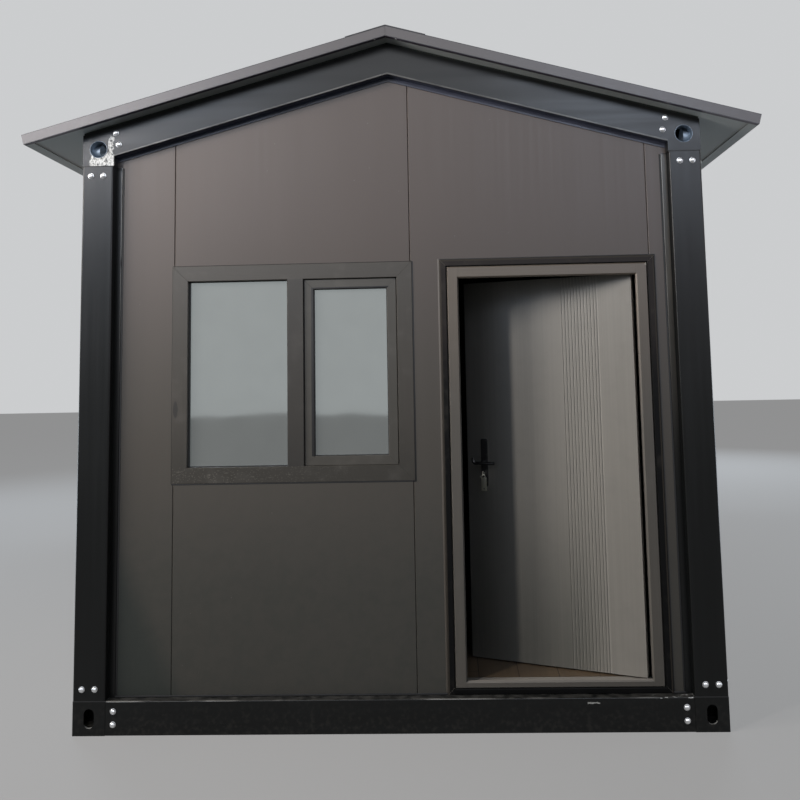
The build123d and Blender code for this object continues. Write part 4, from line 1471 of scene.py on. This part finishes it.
bow = drilled_plate(width=0.020, height=0.024, thickness=0.0022, corner=0.006, hole=0.0035,
                    hole_height=-0.007)
print("bow has", len(bow.data.polygons), "faces")

# %% [markdown]
# ## Key and tag
# The key is in the lock, and a cream tag hangs from it on a thin ring. The bow stands edge-on to the
# front, as it does when the lock is shut, and the ring hangs through its hole.

# %% Model the key with its ring and tag
floor_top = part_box("floor_deck")[1].z
leaf_lock_side, leaf_front = -0.871, -0.064
lever_height = floor_top + 0.970
lock_height = lever_height - 0.052
lock_across = leaf_lock_side + 0.093
lock_depth = leaf_front - 0.012
blade_length = 0.022
key_depth = lock_depth - blade_length
ring_radius = 0.011
ring_height = lock_height - 0.016

bow.data.transform(standing(lock_across, key_depth, lock_height) @ Matrix.Rotation(pi / 2, 4, "Z"))
blade = bar((-0.0011, -blade_length * 0.5, -0.004), (0.0011, blade_length * 0.9, 0.004), 0.0005)
blade.data.transform(standing(lock_across, lock_depth - blade_length * 0.9, lock_height))
deselect()
bpy.ops.mesh.primitive_torus_add(major_radius=ring_radius, minor_radius=0.0008, major_segments=32,
                                 minor_segments=8, rotation=(pi / 2, 0, 0))
split_ring = started()
split_ring.data.transform(standing(lock_across, key_depth, ring_height))
fitted("key", [bow, blade, split_ring], key_metal, body="door")

tag_height = 0.066
tag = drilled_plate(width=0.028, height=tag_height, thickness=0.003, corner=0.005, hole=0.0045,
                    hole_height=0.010 - tag_height / 2)
tag_middle = ring_height - ring_radius - tag_height / 2 + 0.008
tag.data.transform(standing(lock_across + 0.004, key_depth, tag_middle))
fitted("key_tag", [tag], tag_plastic, body="door")

# %% [markdown]
# ## Rivets and roof screws
# Hexagon-headed screws with washers hold the roof sheets on their ribs. A rivet is the same shape with
# a rounder and flatter head. Each is modelled once, standing on the ground, and a matrix puts its
# copies on the roof slope.

# %% Model a rivet and a roof screw
def small_head(corners, radius, height, washer, thickness):
    """A screw or rivet head on a washer, standing on the plane z = 0."""

    def top_edge(a, b):
        return min(a.z, b.z) > thickness + height - 1e-5

    deselect()
    bpy.ops.mesh.primitive_cylinder_add(vertices=12, radius=washer, depth=thickness,
                                        location=(0, 0, thickness / 2))
    head = started()
    edit()
    bpy.ops.mesh.select_all(action="DESELECT")
    bpy.ops.mesh.primitive_cylinder_add(vertices=corners, radius=radius, depth=height,
                                        location=(0, 0, thickness + height / 2))
    pick_edges(top_edge)
    bpy.ops.mesh.bevel(offset=height * 0.25, segments=1, affect="EDGES")
    outwards()
    leave()
    return head


def on_slope(along, out, y):
    """A matrix for a piece that stands on the right-hand slope."""
    x = along * cos(roof_slope) + out * sin(roof_slope)
    z = apex - along * sin(roof_slope) + out * cos(roof_slope)
    return Matrix.Translation((x, y, z)) @ Matrix.Rotation(roof_slope, 4, "Y")


roof_underside = 0.010
rib_top = roof_underside + 0.043 + 0.018
rib_pitch = 0.300
screw_rows = (0.26, 0.72, 1.22, 1.70)
roof_low, roof_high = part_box("roof_right")
rib_count = int((roof_high.y - roof_low.y - 0.2) / rib_pitch) + 1
screw_places = [on_slope(along, rib_top, (i - (rib_count - 1) / 2) * rib_pitch)
                for along in screw_rows for i in range(rib_count)]
screw = small_head(corners=6, radius=0.0048, height=0.005, washer=0.0075, thickness=0.0015)
fitted("roof_screws", copies(screw, screw_places), hinge_zinc, mirror="x")

# %% [markdown]
# ## Rivets at the apex
# They sit under the fascia, on the trims' bottom return, one on each side of the ridge, and face down.

# %% Copy the rivets
verge_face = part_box("verge_trim_front")[0].y
return_depth = 0.010
return_thickness = 0.0015
rivet_along = 0.052
face_down = Matrix.Rotation(pi, 4, "Y")
under_return = on_slope(rivet_along, roof_underside - return_thickness, verge_face + return_depth) @ face_down
rivet = small_head(corners=12, radius=0.0042, height=0.0034, washer=0.0060, thickness=0.0010)
fitted("verge_rivets", copies(rivet, [under_return]), hinge_zinc, mirror="xy")

# %% [markdown]
# The dressed model has to stay inside the model's box, apart from small things that stand proud.
